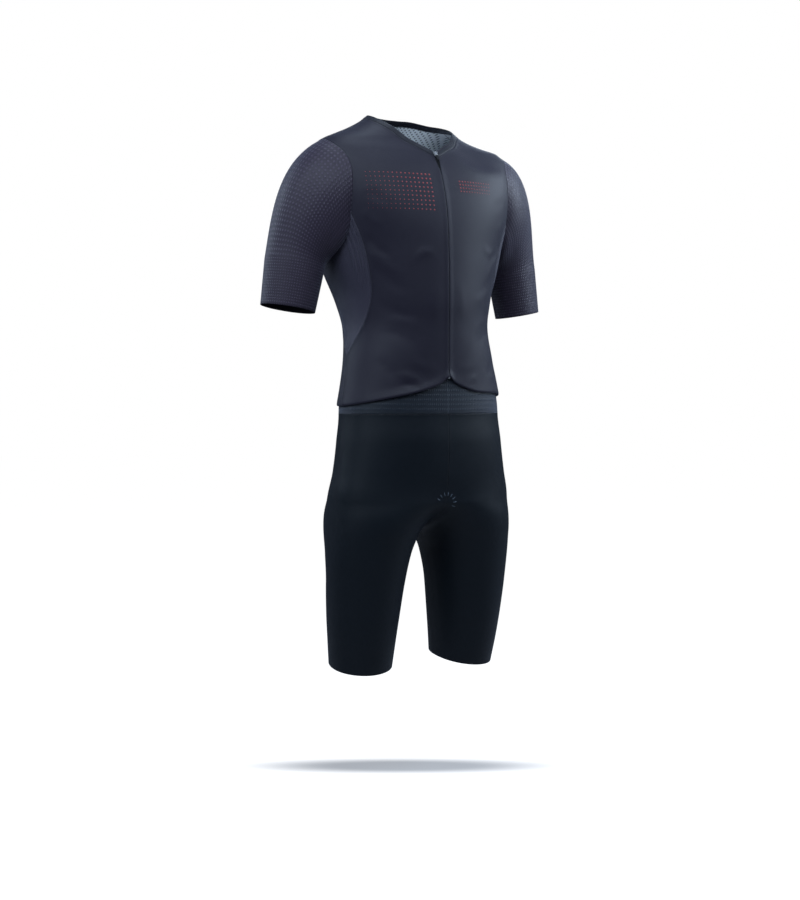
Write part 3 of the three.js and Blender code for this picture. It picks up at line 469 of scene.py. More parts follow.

# %% [markdown]
# ## The cloths
#
# The top is a smooth dark jersey, the sleeves the same yarn with a raised dot every five millimetres,
# which catches the light in rows on the shoulder through its bump and gloss and a painted highlight that
# makes it lighter, and the shorts are denser and bluer. Inside, the back shows the pale underside of a
# fine mesh. One function makes them all, because they differ in colour, gloss and how much of each effect
# they take.

# %% Cloth materials
CLOTHS = {
    # colour, roughness, specular, sheen, knit (pitch, depth) mm,
    # dots (pitch mm, radius, height mm, length, turn in degrees), glint: how much lighter and glossier the
    # dots are, a painted highlight on the sleeves and the waistband, or how much darker where negative
    "top_jersey": ((0.0135, 0.0115, 0.024), 0.52, 0.35, 0.12, (0.8, 0.05), None, 0),
    "sleeve_jersey": ((0.0275, 0.02, 0.036), 0.5, 0.35, 0.26, (0.8, 0.05), (4.8, 0.25, 0.5, 1, 0), 0.9),
    "ribbed_mesh": ((0.031, 0.027, 0.047), 0.5, 0.4, 0.3, (1.1, 0.1), (2.2, 0.3, -0.15, 1, 0), 0.2),
    "neck_binding": ((0.009, 0.0092, 0.0165), 0.48, 0.35, 0.12, (0.9, 0.08), None, 0),
    "elastic_band": ((0.0095, 0.0145, 0.023), 0.45, 0.4, 0.45, (1.0, 0.08), (3.6, 0.22, 0.3, 2.2, 0), 0.7),
    "shorts_weave": ((0.0058, 0.0094, 0.0148), 0.5, 0.26, 0.05, (0.6, 0.04), None, 0),
    "mesh_inside": ((0.92, 0.96, 1.0), 0.7, 0.3, 0.6, (1.2, 0.1), (4.6, 0.25, -0.3, 1, 45), -0.75),
    "zip_tape": ((0.006, 0.006, 0.0085), 0.6, 0.3, 0.05, (0.7, 0.12), None, 0),
    "cut_edge": ((0.008, 0.008, 0.012), 0.7, 0.2, 0.1, (0.8, 0.05), None, 0),
}

# The inside of the back is seen almost flat on, so its lattice runs level and upright instead of
# following the cut
SEEN_SQUARE = {"mesh_inside"}


def cloth_material(name, colour, roughness, specular, sheen, knit, dots, glint):
    """A procedural cloth: `glint` makes its dots lighter and glossier, or darker where negative. On the
    sleeves and the waistband the lighter dots are a painted highlight where they catch the light.
    """
    material = bpy.data.materials.new(name)
    material.use_nodes = True
    tree = material.node_tree
    shader = tree.nodes["Principled BSDF"]
    shader.inputs["Specular IOR Level"].default_value = specular
    shader.inputs["Sheen Weight"].default_value = sheen
    shader.inputs["Sheen Roughness"].default_value = 0.45
    shader.inputs["Sheen Tint"].default_value = (0.75, 0.8, 1.0, 1)
    uv = add_node(tree, "ShaderNodeUVMap", uv_map="UVMap").outputs[0]
    place = add_node(tree, "ShaderNodeTexCoord").outputs["Object"]
    if name in SEEN_SQUARE:
        parts = add_node(tree, "ShaderNodeSeparateXYZ", place).outputs
        uv = add_node(tree, "ShaderNodeCombineXYZ", parts[0], parts[2]).outputs[0]
    height = place_group(tree, KNIT, uv, knit[0] * MM)["Height"]
    patches = place_group(tree, PATCHES, place, 9.0, 0.12)["Value"]
    # Painted shade along the seams, and in the troughs between the side panels' ribs
    seam = place_group(tree, SEAM_SHADE, 0.45)["Value"]
    # The knit's low parts are darker and its loops lighter: painted shade and light on its relief. The
    # patches drift at random.
    tone = calc(tree, "MULTIPLY", calc(tree, "MULTIPLY_ADD", height, 0.3, 0.85), patches)
    tone = calc(tree, "MULTIPLY", tone, seam)
    rough = calc(tree, "MULTIPLY", patches, roughness)
    bump = add_node(tree, "ShaderNodeBump")
    bump.inputs["Distance"].default_value = knit[1] * MM
    tree.links.new(height, bump.inputs["Height"])
    if dots:
        pitch, radius, raised_by, length, turn = dots
        laid = add_node(tree, "ShaderNodeMapping", uv)
        laid.inputs["Rotation"].default_value = (0, 0, math.radians(turn))
        laid.inputs["Scale"].default_value = (1, 1 / length, 1)
        grid = place_group(tree, DOTS, laid.outputs[0], pitch * MM, radius, 0.12)["Dots"]
        # Positive glint lightens the dots, a painted highlight on the sleeves and the waistband; negative
        # glint darkens the holes of the inside mesh
        tone = calc(tree, "MULTIPLY", tone, calc(tree, "MULTIPLY_ADD", grid, glint, 1.0))
        rough = calc(tree, "MULTIPLY_ADD", grid, -0.12 * max(glint, 0), rough)
        raised = add_node(tree, "ShaderNodeBump")
        raised.inputs["Distance"].default_value = raised_by * MM
        tree.links.new(grid, raised.inputs["Height"])
        tree.links.new(bump.outputs["Normal"], raised.inputs["Normal"])
        bump = raised
    tint = add_node(tree, "ShaderNodeCombineXYZ", tone, tone, tone).outputs[0]
    shade = add_node(tree, "ShaderNodeVectorMath", tint, operation="MULTIPLY")
    shade.inputs[1].default_value = colour
    tree.links.new(shade.outputs[0], shader.inputs["Base Color"])
    tree.links.new(rough, shader.inputs["Roughness"])
    tree.links.new(bump.outputs["Normal"], shader.inputs["Normal"])
    return material


cloths = {name: cloth_material(name, *row) for name, row in CLOTHS.items()}
print("cloths:", ", ".join(cloths))

# %% [markdown]
# ## Seams as lines on the form
#
# A pattern cutter draws the seams on a form with tape before cutting a panel. The same is done here:
# each seam is a handful of places on the form, joined by a smooth line. A panel is then whatever lies
# between its seams, so neighbours always meet exactly.

# %% The seam lines, as degrees round from the centre front and height in millimetres
COLLAR_WIDTH = 11
ZIP_GAP = {"narrow": 0.6, "wide": 4, "from": -82, "to": -58}
NECK_EDGE = [(-8, -56), (0, -44), (12, -25), (32, 0), (60, 16), (90, 25), (125, 29), (180, 30)]
HEM_EDGE = [
    (0, -427), (6, -439), (12, -445), (25, -455), (40, -463), (60, -471),
    (90, -477), (135, -475), (180, -470),
]
SIDE_TIP = (90, -392)
SIDE_FRONT = [SIDE_TIP, (72, -352), (62, -321), (55, -280), (53, -245), (54, -200), (58, -153)]
SIDE_BACK = [SIDE_TIP, (106, -358), (114, -325), (120, -285), (122, -245), (122, -205), (120, -165)]
ARMHOLE = [
    (58, -153), (54.5, -128), (51.5, -100), (51, -72), (57, -45), (72, -30),
    (90, -24), (102, -31), (113, -48), (121, -72), (125, -100), (124, -130),
    (120, -165), (118, -178), (112, -195), (100, -215), (90, -221), (80, -215), (68, -198), (61, -175),
]
JOIN_FRONT, JOIN_SHOULDER, JOIN_BACK = 0, 6, 12


def seam_line(corners, closed=False, steps=16):
    """A smooth line through places on the form, as rows of (degrees round, height, mark)."""
    places = np.array(corners, float)
    count = len(places)
    index = np.arange(-1, count + 2)
    index = index % count if closed else np.clip(index, 0, count - 1)
    ring = places[index]
    points = on_trunk(ring[:, 0], ring[:, 1])
    chords = np.maximum(np.linalg.norm(np.diff(points, axis=0), axis=1), 1e-9)[:, None]
    grades = np.diff(ring, axis=0) / chords
    before, after = chords[:-1], chords[1:]
    slopes = (grades[:-1] * after + grades[1:] * before) / (before + after)
    spans = count if closed else count - 1
    if not closed:
        slopes[0], slopes[spans] = grades[1], grades[spans]
    line = []
    for i in range(spans):
        t = (np.arange(steps) / steps)[:, None]
        here, there, chord = ring[i + 1], ring[i + 2], chords[i + 1]
        place = hermite(here, there, slopes[i] * chord, slopes[i + 1] * chord, t)
        line.append(np.hstack([place, i + t]))
    last = ring[spans + 1]
    return np.vstack([*line, [*last, spans]])


def stretch(line, column, start, end):
    """The part of a line between two values of one of its columns, which rises along it."""
    measure = line[:, column]
    inside = (measure > start) & (measure < end)
    ends = [[np.interp(value, measure, line[:, k]) for k in range(2)] for value in (start, end)]
    return np.vstack([ends[0], line[inside, :2], ends[1]])


def spaced(line, fractions):
    """Places at given fractions of a line's length."""
    points = on_trunk(line[:, 0], line[:, 1])
    run = np.concatenate([[0], np.cumsum(np.linalg.norm(np.diff(points, axis=0), axis=1))])
    want = np.asarray(fractions, float) * run[-1]
    return np.stack([np.interp(want, run, line[:, k]) for k in range(2)], axis=-1)


def straight(a, b):
    return np.array([a, b], float)


def zip_crossing(line, edge):
    """How far round a line crosses the edge of the zip, which is `edge` from the centre front."""
    x = on_trunk(line[:, 0], line[:, 1])[:, 0]
    i = int(np.argmax(x >= edge))
    share = (edge - x[i - 1]) / (x[i] - x[i - 1])
    return mix(line[i - 1, 0], line[i, 0], share)


def zip_edge(z):
    """Half the gap between the folded front edges: a slit, which opens to let the slider through."""
    return mix(ZIP_GAP["narrow"], ZIP_GAP["wide"], smooth(ZIP_GAP["from"], ZIP_GAP["to"], z))


def aside(x, z):
    """How far round the form a point lies that is x millimetres to one side of the centre front."""
    low, high = np.full(np.shape(z), -40.0), np.full(np.shape(z), 40.0)
    for _ in range(34):
        middle = (low + high) / 2
        short = on_trunk(middle, z)[..., 0] < x
        low, high = np.where(short, middle, low), np.where(short, high, middle)
    return (low + high) / 2


def nearest_on_trunk(points, around, z):
    """The places on the form nearest to points that lie close to it."""
    for _ in range(6):
        here = on_trunk(around, z)
        du = (on_trunk(around + 0.1, z) - here) * 10
        dz = (on_trunk(around, z + 0.1) - here) * 10
        miss = points - here
        a, b, c = (du * du).sum(-1), (du * dz).sum(-1), (dz * dz).sum(-1)
        mu, mz = (du * miss).sum(-1), (dz * miss).sum(-1)
        det = a * c - b * b
        around, z = around + (c * mu - b * mz) / det, z + (a * mz - b * mu) / det
    return around, z


def offset_line(line, distance):
    """A line moved sideways over the cloth."""
    points = on_trunk(line[:, 0], line[:, 1])
    along = points[2:] - points[:-2]
    away = unit(np.cross(along, trunk_normal(line[1:-1, 0], line[1:-1, 1])))
    target = points[1:-1] + away * distance
    around, z = nearest_on_trunk(target, line[1:-1, 0], line[1:-1, 1] - distance)
    return np.vstack([np.stack([around, z], axis=-1), [180, z[-1]]])


neck_edge = seam_line(NECK_EDGE)
neck_seam = offset_line(neck_edge, COLLAR_WIDTH)
neck_front = stretch(neck_seam, 0, zip_crossing(neck_seam, ZIP_GAP["wide"]), 90)
neck_back = stretch(neck_seam, 0, 90, 180)
edge_front = stretch(neck_edge, 0, zip_crossing(neck_edge, ZIP_GAP["wide"]), 90)
edge_back = stretch(neck_edge, 0, 90, 180)
hem = seam_line(HEM_EDGE)
hem_front = stretch(hem, 0, zip_crossing(hem, ZIP_GAP["narrow"]), 90)
hem_back = stretch(hem, 0, 90, 180)[::-1]
side_front, side_back = seam_line(SIDE_FRONT)[:, :2], seam_line(SIDE_BACK)[:, :2]
armhole = seam_line(ARMHOLE, closed=True)
armhole_front = stretch(armhole, 2, JOIN_FRONT, JOIN_SHOULDER)
armhole_back = stretch(armhole, 2, JOIN_SHOULDER, JOIN_BACK)[::-1]
armpit = stretch(armhole, 2, JOIN_BACK, len(ARMHOLE))[::-1]
side_seam = straight(hem_front[-1], SIDE_TIP)
centre_back = straight(hem_back[0], neck_back[-1])
shoulder_seam = straight(neck_front[-1], armhole_front[-1])
heights = np.linspace(hem_front[0][1], neck_front[0][1], 120)
centre_front = np.stack([aside(zip_edge(heights), heights), heights], axis=-1)


def seam_length(line):
    points = on_trunk(line[:, 0], line[:, 1])
    return np.linalg.norm(np.diff(points, axis=0), axis=1).sum()


print("armhole, mm round:", round(seam_length(armhole[:, :2])))

# %% [markdown]
# ## From seams to panels
#
# A patch between four seams could be cut by hand from a mesh of the whole form. Filling it from its
# edges, as a Coons patch, keeps its rows even and puts the last row of vertices right on the seam. The
# rows and columns crowd together beside the seams, because the small relief of a seam lies there: a
# low ridge where the two allowances lie under the cloth, with a fine groove where the edges meet.

# %% Patches between seams
CLOTH = 1.2
CELL = 2.6
SEAM_STEPS = (0.35, 0.8, 1.5, 2.6, 4.0)


def graded(length, cell=CELL, start=True, end=True):
    """Fractions of a length in even cells, finer beside the ends that are sewn."""
    near = np.array((0, *SEAM_STEPS)) / length
    low = near if start else np.array([0.0])
    high = (1 - near)[::-1] if end else np.array([1.0])
    gap = high[0] - low[-1]
    between = np.linspace(low[-1], high[0], max(2, round(gap * length / cell)) + 1)[1:-1]
    return np.concatenate([low, between, high])


def stacked(parts, rows):
    """Places along several seams in turn: row 2.25 is a quarter of the way along the third."""
    found = np.zeros((len(rows), 2))
    for k, part in enumerate(parts):
        mine = (rows >= k) & (rows <= k + 1)
        found[mine] = spaced(part, rows[mine] - k)
    return found


def filled_patch(bottom, top, inner, outer, columns, rows):
    """Places between four seams, worked out from the edges alone."""
    s = columns[None, :, None]
    t = rows[:, None, None]
    corners = (1 - t) * mix(bottom[0], bottom[-1], s) + t * mix(top[0], top[-1], s)
    return mix(bottom[None], top[None], t) + mix(inner[:, None], outer[:, None], s) - corners


def distance_to(points, line):
    """The distance from each point to a line of points close together."""
    flat = points.reshape(-1, 3)
    best = np.full(len(flat), np.inf)
    for start in range(0, len(line), 64):
        part = line[start:start + 64]
        gaps = np.linalg.norm(flat[:, None] - part[None], axis=2)
        best = np.minimum(best, gaps.min(axis=1))
    return best.reshape(points.shape[:-1])


def dense(line, step=1.0):
    """The points of a seam, about a millimetre apart."""
    count = max(2, int(seam_length(line) / step))
    place = spaced(line, np.linspace(0, 1, count + 1))
    return on_trunk(place[:, 0], place[:, 1])


def cloth_uv(points):
    """Metres over the cloth, across from the first column and up from the first row."""
    across = np.linalg.norm(np.diff(points, axis=1), axis=2)
    up = np.linalg.norm(np.diff(points, axis=0), axis=2)
    u = np.concatenate([np.zeros((len(points), 1)), np.cumsum(across, axis=1)], axis=1)
    v = np.concatenate([np.zeros((1, points.shape[1])), np.cumsum(up, axis=0)], axis=0)
    return np.stack([u, v], axis=-1) * MM


# %% [markdown]
# Two things bend the cloth off the smooth form: its seams, which are found by distance, and its creases,
# which are soft troughs and ridges along short curves. Worn cloth also shifts as a whole, so two gentle
# moves set the left shoulder lower and let the hem ride up on the left hip.

# %% Seam relief and creases
SEAM = {"ridge": 0.35, "width": 4.2, "groove": 0.55, "groove_width": 0.9}


def seam_relief(distance, strength=1.0):
    ridge = SEAM["ridge"] * (1 - smooth(SEAM["width"] * 0.5, SEAM["width"], distance))
    groove = SEAM["groove"] * (1 - smooth(0, SEAM["groove_width"], distance))
    return strength * (ridge - groove)


def crease_relief(points, creases):
    """Soft troughs and ridges along short curves, in millimetres: a crease is its two ends, how far
    it bows sideways, its depth, which is negative for a trough, and its width."""
    total = np.zeros(points.shape[:-1])
    for start, end, bow, depth, width in creases:
        start, end = np.array(start, float), np.array(end, float)
        along = end - start
        length = np.linalg.norm(along)
        side = np.array([-along[1], along[0]]) / length
        flat = points[..., [0, 2]] - start
        t = (flat @ along) / length**2
        middle = 4 * bow * t * (1 - t)
        off = flat @ side - middle
        fade = smooth(-0.12, 0.3, t) * (1 - smooth(0.6, 1.12, t))
        total += depth * fade * np.exp(-(off / width) ** 2)
    return total


LEFT_SHOULDER = {
    # moved by, and where across: inner end, peak, outer end; and the heights between which it grows
    "drop": (13, 20, 105, 215, -88, -37),
    "draw": (16, 5, 84, 176, -71, 10),
}


def settled(points):
    """The left shoulder sits a little lower than the right one, and closer to the neck."""
    moved = points.copy()
    x, z = points[..., 0], points[..., 2]
    for (by, inner, peak, outer, start, end), axis in zip(LEFT_SHOULDER.values(), (2, 0)):
        moved[..., axis] -= by * smooth(inner, peak, x) * (1 - smooth(peak, outer, x)) * smooth(start, end, z)
    return moved


RIDDEN_UP = {"by": 13, "inner": 40, "outer": 135, "from": -392, "to": -455}


def worn(points):
    """The top as it sits: its left shoulder settled, and its hem ridden up a little on the left hip."""
    moved = settled(points)
    share = smooth(RIDDEN_UP["inner"], RIDDEN_UP["outer"], points[..., 0])
    moved[..., 2] += RIDDEN_UP["by"] * share * smooth(RIDDEN_UP["from"], RIDDEN_UP["to"], points[..., 2])
    return moved


# %% [markdown]
# A piece is built from one or more grids that share their edges. It is made as a bare skin, which is
# light and easy to check, and a Solidify modifier gives it the thickness of cloth, with its own material
# on the inside and on the cut edge.

# %% A mesh from grids of points
def cloth_piece(name, grids, materials, thickness=CLOTH, moved=settled):
    """One piece of cloth from grids of (points, normals, uv, seam distance): a skin on the grids,
    merged where they share an edge, and thickened by a Solidify modifier, which stays on it."""
    points, normals, uvs, seams, faces = [], [], [], [], []
    start = 0
    for grid, normal, uv, seam in grids:
        rows, width = grid.shape[:2]
        index = start + np.arange(rows * width).reshape(rows, width)
        quads = np.stack([index[:-1, :-1], index[:-1, 1:], index[1:, 1:], index[1:, :-1]], axis=-1)
        quads = quads.reshape(-1, 4)
        points.append(grid.reshape(-1, 3))
        normals.append(normal.reshape(-1, 3))
        uvs.append(uv.reshape(-1, 2))
        seams.append(seam.reshape(-1))
        faces.append(quads)
        start += rows * width
    points, normals, uvs = np.vstack(points), np.vstack(normals), np.vstack(uvs)
    seams, faces = np.concatenate(seams), np.vstack(faces)
    a, b, c, d = (points[faces[:, k]] for k in range(4))
    out = (np.cross(c - a, d - b) * normals[faces[:, 0]]).sum(1)
    faces[out < 0] = faces[out < 0][:, ::-1]
    mesh = bpy.data.meshes.new(name)
    mesh.from_pydata(moved(points) * MM, [], faces.tolist())
    layer = mesh.uv_layers.new(name="UVMap")
    layer.data.foreach_set("uv", uvs[faces.reshape(-1)].astype(np.float32).ravel())
    # How near each vertex is to a seam, which the seam shade group turns into painted shade
    near = mesh.attributes.new("seam", "FLOAT", "POINT")
    near.data.foreach_set("value", np.exp(-seams / 2.5).astype(np.float32))
    merge_doubles(mesh)
    mesh.shade_smooth()
    for material in materials:
        mesh.materials.append(material)
    piece = bpy.data.objects.new(name, mesh)
    bpy.context.scene.collection.objects.link(piece)
    if thickness:
        wall = piece.modifiers.new("wall", "SOLIDIFY")
        wall.thickness = thickness * MM
        wall.offset = 0
        wall.use_even_offset = False
        wall.material_offset = 1
        wall.material_offset_rim = 2
    return piece


def merge_doubles(mesh, distance=0.02):
    work = bmesh.new()
    work.from_mesh(mesh)
    bmesh.ops.remove_doubles(work, verts=work.verts, dist=distance * MM)
    bmesh.ops.dissolve_degenerate(work, edges=work.edges, dist=distance * MM)
    work.to_mesh(mesh)
    work.free()


def flipped(grids):
    """The mirror image of grids, for the wearer's right side."""
    turn = np.array([-1.0, 1, 1])
    return [(points * turn, normals * turn, uv, seam) for points, normals, uv, seam in grids]


def dressed(piece, node, body="suit"):
    """The piece rides on its body and stands for its node, which is hidden."""
    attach(piece, body)
    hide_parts(node)
    return piece


# %% [markdown]
# ## The top: two fronts and a back
#
# The fronts fold over the zip, so each has a raised welt along its edge, and below the last tooth their
# corners curl away. The hem hangs free over the waistband and stands off it most where the wearer's
# right hip turns forward. Tight cloth has no deep folds, but it strains: shallow creases run from the
# armpit towards the chest and the waist, and the small of the back gathers a few level ones. They are
# listed one by one and moved into the surface as soft ridges and troughs, so each is in the mesh.

# %% What shapes the top besides its sections
WELT = {"height": 0.7, "flat": 3.0, "ends": 9.0, "curl": 2.0, "curl_from": -414, "curl_to": -430}
HEM_FLARE = {
    # how far the hem stands off, over how much of its height, and where it is widest
    "everywhere": 0.6, "rise": 24, "most": 3.4, "at": -62, "width": 46, "curl_in": 0.8,
}
FRONT_CREASES = [
    # start (x, z), end (x, z), bow, height, width
    ((131, -190), (98, -228), 5, -1.0, 6),
    ((126, -206), (80, -258), 8, 0.9, 8),
    ((118, -232), (66, -286), 10, -0.8, 9),
    ((140, -150), (112, -176), 3, 0.7, 6),
    ((139, -122), (104, -140), -3, -0.55, 7),
    ((96, -330), (48, -352), -5, 0.7, 9),
    ((104, -352), (58, -382), -6, -0.7, 8),
    ((70, -398), (22, -414), 4, 0.55, 8),
    ((112, -396), (84, -432), 4, -0.7, 8),
    ((20, -270), (26, -330), 3, 0.5, 9),
]
RIGHT_EXTRA = [
    ((60, -232), (24, -222), -8, 0.9, 8),
    ((108, -300), (60, -330), 7, -0.8, 8),
    ((92, -424), (40, -446), -5, 0.9, 6),
    ((84, -440), (52, -452), -3, -0.9, 4),
]
LEFT_EXTRA = [
    ((104, -214), (78, -204), 4, 0.7, 7),
    ((96, -268), (52, -300), 8, 0.7, 9),
    ((60, -430), (30, -440), -4, 0.7, 6),
]
BACK_CREASES = [
    ((128, -186), (86, -236), -6, -0.9, 8),
    ((134, -152), (96, -182), -4, 0.8, 8),
    ((122, -214), (70, -270), -8, 0.8, 9),
    ((92, -322), (22, -334), 5, 1.1, 8),
    ((100, -342), (10, -352), -4, -1.2, 9),
    ((88, -366), (34, -374), 5, 1.0, 8),
    ((70, -392), (20, -396), -3, -0.8, 8),
    ((20, -90), (22, -260), 4, -0.9, 12),
    ((64, -110), (40, -220), -5, 0.6, 12),
    ((80, -420), (26, -440), 6, 0.8, 8),
]


def welt_relief(points):
    """The fold beside the zip, which stands proud of the teeth and curls away below them."""
    x, z = np.abs(points[..., 0]), points[..., 2]
    across = 1 - smooth(WELT["flat"], WELT["ends"], x)
    open_top = smooth(ZIP_GAP["to"], ZIP_GAP["from"], z)
    curl = WELT["curl"] * smooth(WELT["curl_from"], WELT["curl_to"], z)
    return across * open_top * (WELT["height"] + curl)


def hem_relief(points, drop, turned):
    """How far the hem stands off the waistband; `drop` is the height above the hem."""
    lift = smooth(HEM_FLARE["rise"], 0, drop)
    wide = np.exp(-((points[..., 0] * turned - HEM_FLARE["at"]) / HEM_FLARE["width"]) ** 2)
    wide = wide * (points[..., 1] < 0)
    fold = HEM_FLARE["curl_in"] * smooth(2.4, 0, drop)
    return lift**2 * (HEM_FLARE["everywhere"] + HEM_FLARE["most"] * wide) - fold


# %% The fronts and the back
# Where the seams on a panel's two sides end, on one scale from its hem to its shoulder
PANEL = {"outer": (0, 4, 13, 21), "inner": (0, 15, 21), "width": 110}


def panel(hem_line, centre, neck, side, arm, seams, creases, turned=1):
    """A panel of the top, from its hem to the shoulder seam, as a grid with its relief."""
    unit_lengths = [seam_length(side_seam), seam_length(side), seam_length(arm)]
    rows = np.concatenate([
        graded(unit_lengths[0], start=True, end=False)[:-1],
        1 + graded(unit_lengths[1], start=False, end=False)[:-1],
        2 + graded(unit_lengths[2], start=False, end=True),
    ])
    marks = np.interp(rows, [0, 1, 2, 3], PANEL["outer"])
    inner_rows = np.interp(marks, PANEL["inner"], [0, 1, 2])
    columns = graded(PANEL["width"])
    places = filled_patch(
        spaced(hem_line, columns),
        spaced(shoulder_seam, columns),
        stacked([centre, neck], inner_rows),
        stacked([side_seam, side, arm], rows),
        columns,
        marks / marks[-1],
    )
    around, z = places[..., 0], places[..., 1]
    points, normals = on_trunk(around, z), trunk_normal(around, z)
    distance = distance_to(points, np.vstack(seams))
    lift = seam_relief(distance) + crease_relief(points, creases) * smooth(0, 9, distance)
    lift += hem_relief(points, z - z[:1], turned)
    if centre is centre_front:
        lift += welt_relief(points)
    return points + normals * lift[..., None], normals, cloth_uv(points), distance


front_seams = [dense(line) for line in (side_front, armhole_front, shoulder_seam, neck_front, side_seam)]
back_seams = [dense(line) for line in (side_back, armhole_back[::-1], shoulder_seam, neck_back, side_seam)]
front_lines = (hem_front, centre_front, neck_front, side_front, armhole_front, front_seams)
left_grid = panel(*front_lines, FRONT_CREASES + LEFT_EXTRA)
right_grid = panel(*front_lines, FRONT_CREASES + RIGHT_EXTRA, turned=-1)
back_grid = panel(hem_back, centre_back, neck_back[::-1], side_back, armhole_back, back_seams, BACK_CREASES)
top_materials = [cloths["top_jersey"], cloths["mesh_inside"], cloths["cut_edge"]]
for node, grids in (("front_left", [left_grid]), ("front_right", flipped([right_grid])),
                    ("back", [back_grid, *flipped([back_grid])])):
    dressed(cloth_piece(node + "_cloth", grids, top_materials, moved=worn), node)
print("front panel:", left_grid[0].shape[:2], "points")

# %% [markdown]
# ## Side panels, sleeves and collar
#
# The ribbed panels under the arms are patches too, with four real ribs that fade out below the chest. A
# sleeve is lofted from its armhole to a tilted ring at the elbow: it leaves the shoulder along the
# wearer's arm and droops more at the armpit than at the top. The collar is a folded band, a small closed
# profile swept round the neck.

# %% The side panels
SIDE = {"length": 240, "ribbed": 0.27, "fine_columns": 55, "columns": 42, "shaded": 0.25}
RIBS = {"crests": (0.03, 0.09, 0.15, 0.21), "height": 1.2, "width": 0.022, "full": -245, "gone": -290}


def side_grid():
    rows = graded(SIDE["length"], start=False)
    ribbed = np.linspace(0, SIDE["ribbed"], SIDE["fine_columns"])
    plain = np.linspace(SIDE["ribbed"], 1, SIDE["columns"])
    columns = np.unique(np.concatenate([ribbed, plain]))
    tip = np.repeat([SIDE_TIP], len(columns), axis=0).astype(float)
    places = filled_patch(
        tip, spaced(armpit, columns), spaced(side_front, rows), spaced(side_back, rows), columns, rows)
    around, z = places[..., 0], places[..., 1]
    points, normals = on_trunk(around, z), trunk_normal(around, z)
    off = np.abs(columns[:, None] - np.array(RIBS["crests"])[None]).min(axis=1) / RIBS["width"]
    ribs = RIBS["height"] * np.exp(-off**2 * 2)[None] * smooth(RIBS["gone"], RIBS["full"], z)
    seams = np.vstack([dense(side_front), dense(side_back), dense(armpit)])
    distance = distance_to(points, seams)
    lift = seam_relief(distance) + ribs * smooth(0, 2, distance)
    # The troughs between the ribs are given a small seam distance, so they take the seams' painted shade
    shaded = (columns < SIDE["shaded"])[None] * smooth(RIBS["gone"], RIBS["full"], z)
    trough = (1 - ribs / RIBS["height"]) * shaded
    shade = np.minimum(distance, mix(9, 0.2, trough))
    return points + normals * lift[..., None], normals, cloth_uv(points), shade


side = side_grid()
side_materials = [cloths["ribbed_mesh"], cloths["mesh_inside"], cloths["cut_edge"]]
for node, grids in (("side_left", [side]), ("side_right", flipped([side]))):
    dressed(cloth_piece(node + "_cloth", grids, side_materials), node)
print("side panel:", side[0].shape[:2], "points")

# %% The sleeves
SLEEVE_RING = {"centre": (219, 17, -236), "long": 52, "short": 43, "turned": 45, "lean": 10.4}
CUFF_RING = {"centre": (232, 17, -313), "long": 47, "short": 39, "turned": 45, "lean": 10.4}
SLEEVE_DROOP = {"top": 25, "more": 45, "power": 1.5}
SLEEVE_PULL = {"start": 1.12, "end": 0.9}
SLEEVE_ROUND = 336
SLEEVE_STEPS = {"round": 190, "cap_length": 150, "below": 31}


def ring_point(ring, turn):
    lean, turned = math.radians(ring["lean"]), math.radians(ring["turned"])
    along, beside = ring["long"] * np.cos(turn - turned), ring["short"] * np.sin(turn - turned)
    across = along * math.cos(turned) - beside * math.sin(turned)
    back = along * math.sin(turned) + beside * math.cos(turned)
    return np.stack([math.cos(lean) * across, back, math.sin(lean) * across], -1) + ring["centre"]


def sleeve_grid():
    loop = np.vstack([armhole_back[::-1], armpit[::-1][1:], armhole_front[1:]])
    count = SLEEVE_STEPS["round"]
    places = spaced(loop, np.linspace(0, 1, count + 1))
    start = on_trunk(places[:, 0], places[:, 1])
    run = np.concatenate([[0], np.cumsum(np.linalg.norm(np.diff(start, axis=0), axis=1))])
    lowest = int(np.argmin(start[:, 2]))
    turn = np.where(
        np.arange(count + 1) <= lowest,
        math.pi * run / run[lowest],
        math.pi * (1 + (run - run[lowest]) / (run[-1] - run[lowest])),
    )
    height = (start[:, 2] - start[lowest, 2]) / (start[0, 2] - start[lowest, 2])
    lower = np.clip(1 - height, 0, 1) ** SLEEVE_DROOP["power"]
    droop = np.radians(SLEEVE_DROOP["top"] + SLEEVE_DROOP["more"] * lower)
    ring, cuff = ring_point(SLEEVE_RING, turn), ring_point(CUFF_RING, turn)
    chord = np.linalg.norm(ring - start, axis=1)[:, None]
    out = np.stack([np.cos(droop), 0 * droop, -np.sin(droop)], -1) * chord * SLEEVE_PULL["start"]
    lean = math.radians(SLEEVE_RING["lean"])
    down = np.array([math.sin(lean), 0, -math.cos(lean)]) * chord * SLEEVE_PULL["end"]
    cap = graded(SLEEVE_STEPS["cap_length"], end=False)[:, None, None]
    below = np.linspace(0, 1, SLEEVE_STEPS["below"])[1:, None, None]
    points = np.concatenate([
        hermite(start[None], ring[None], out[None], down[None], cap),
        mix(ring[None], cuff[None], below),
    ])
    around = np.roll(points[:, :-1], -1, axis=1) - np.roll(points[:, :-1], 1, axis=1)
    around = np.concatenate([around, around[:, :1]], axis=1)
    normals = unit(np.cross(np.gradient(points, axis=0), around))
    distance = distance_to(points, start)
    lift = seam_relief(distance)
    down = np.linalg.norm(np.diff(points, axis=0), axis=2).mean(axis=1)
    run_down = np.concatenate([[0], np.cumsum(down)])[:, None]
    share = np.linspace(0, SLEEVE_ROUND, count + 1)[None]
    uv = np.stack([share + 0 * run_down, run_down + 0 * share], -1) * MM
    return points + normals * lift[..., None], normals, uv, distance


sleeve = sleeve_grid()
sleeve_materials = [cloths["sleeve_jersey"], cloths["cut_edge"], cloths["cut_edge"]]
for node, grids in (("sleeve_left", [sleeve]), ("sleeve_right", flipped([sleeve]))):
    dressed(cloth_piece(node + "_cloth", grids, sleeve_materials), node)
print("sleeve:", sleeve[0].shape[:2], "points")

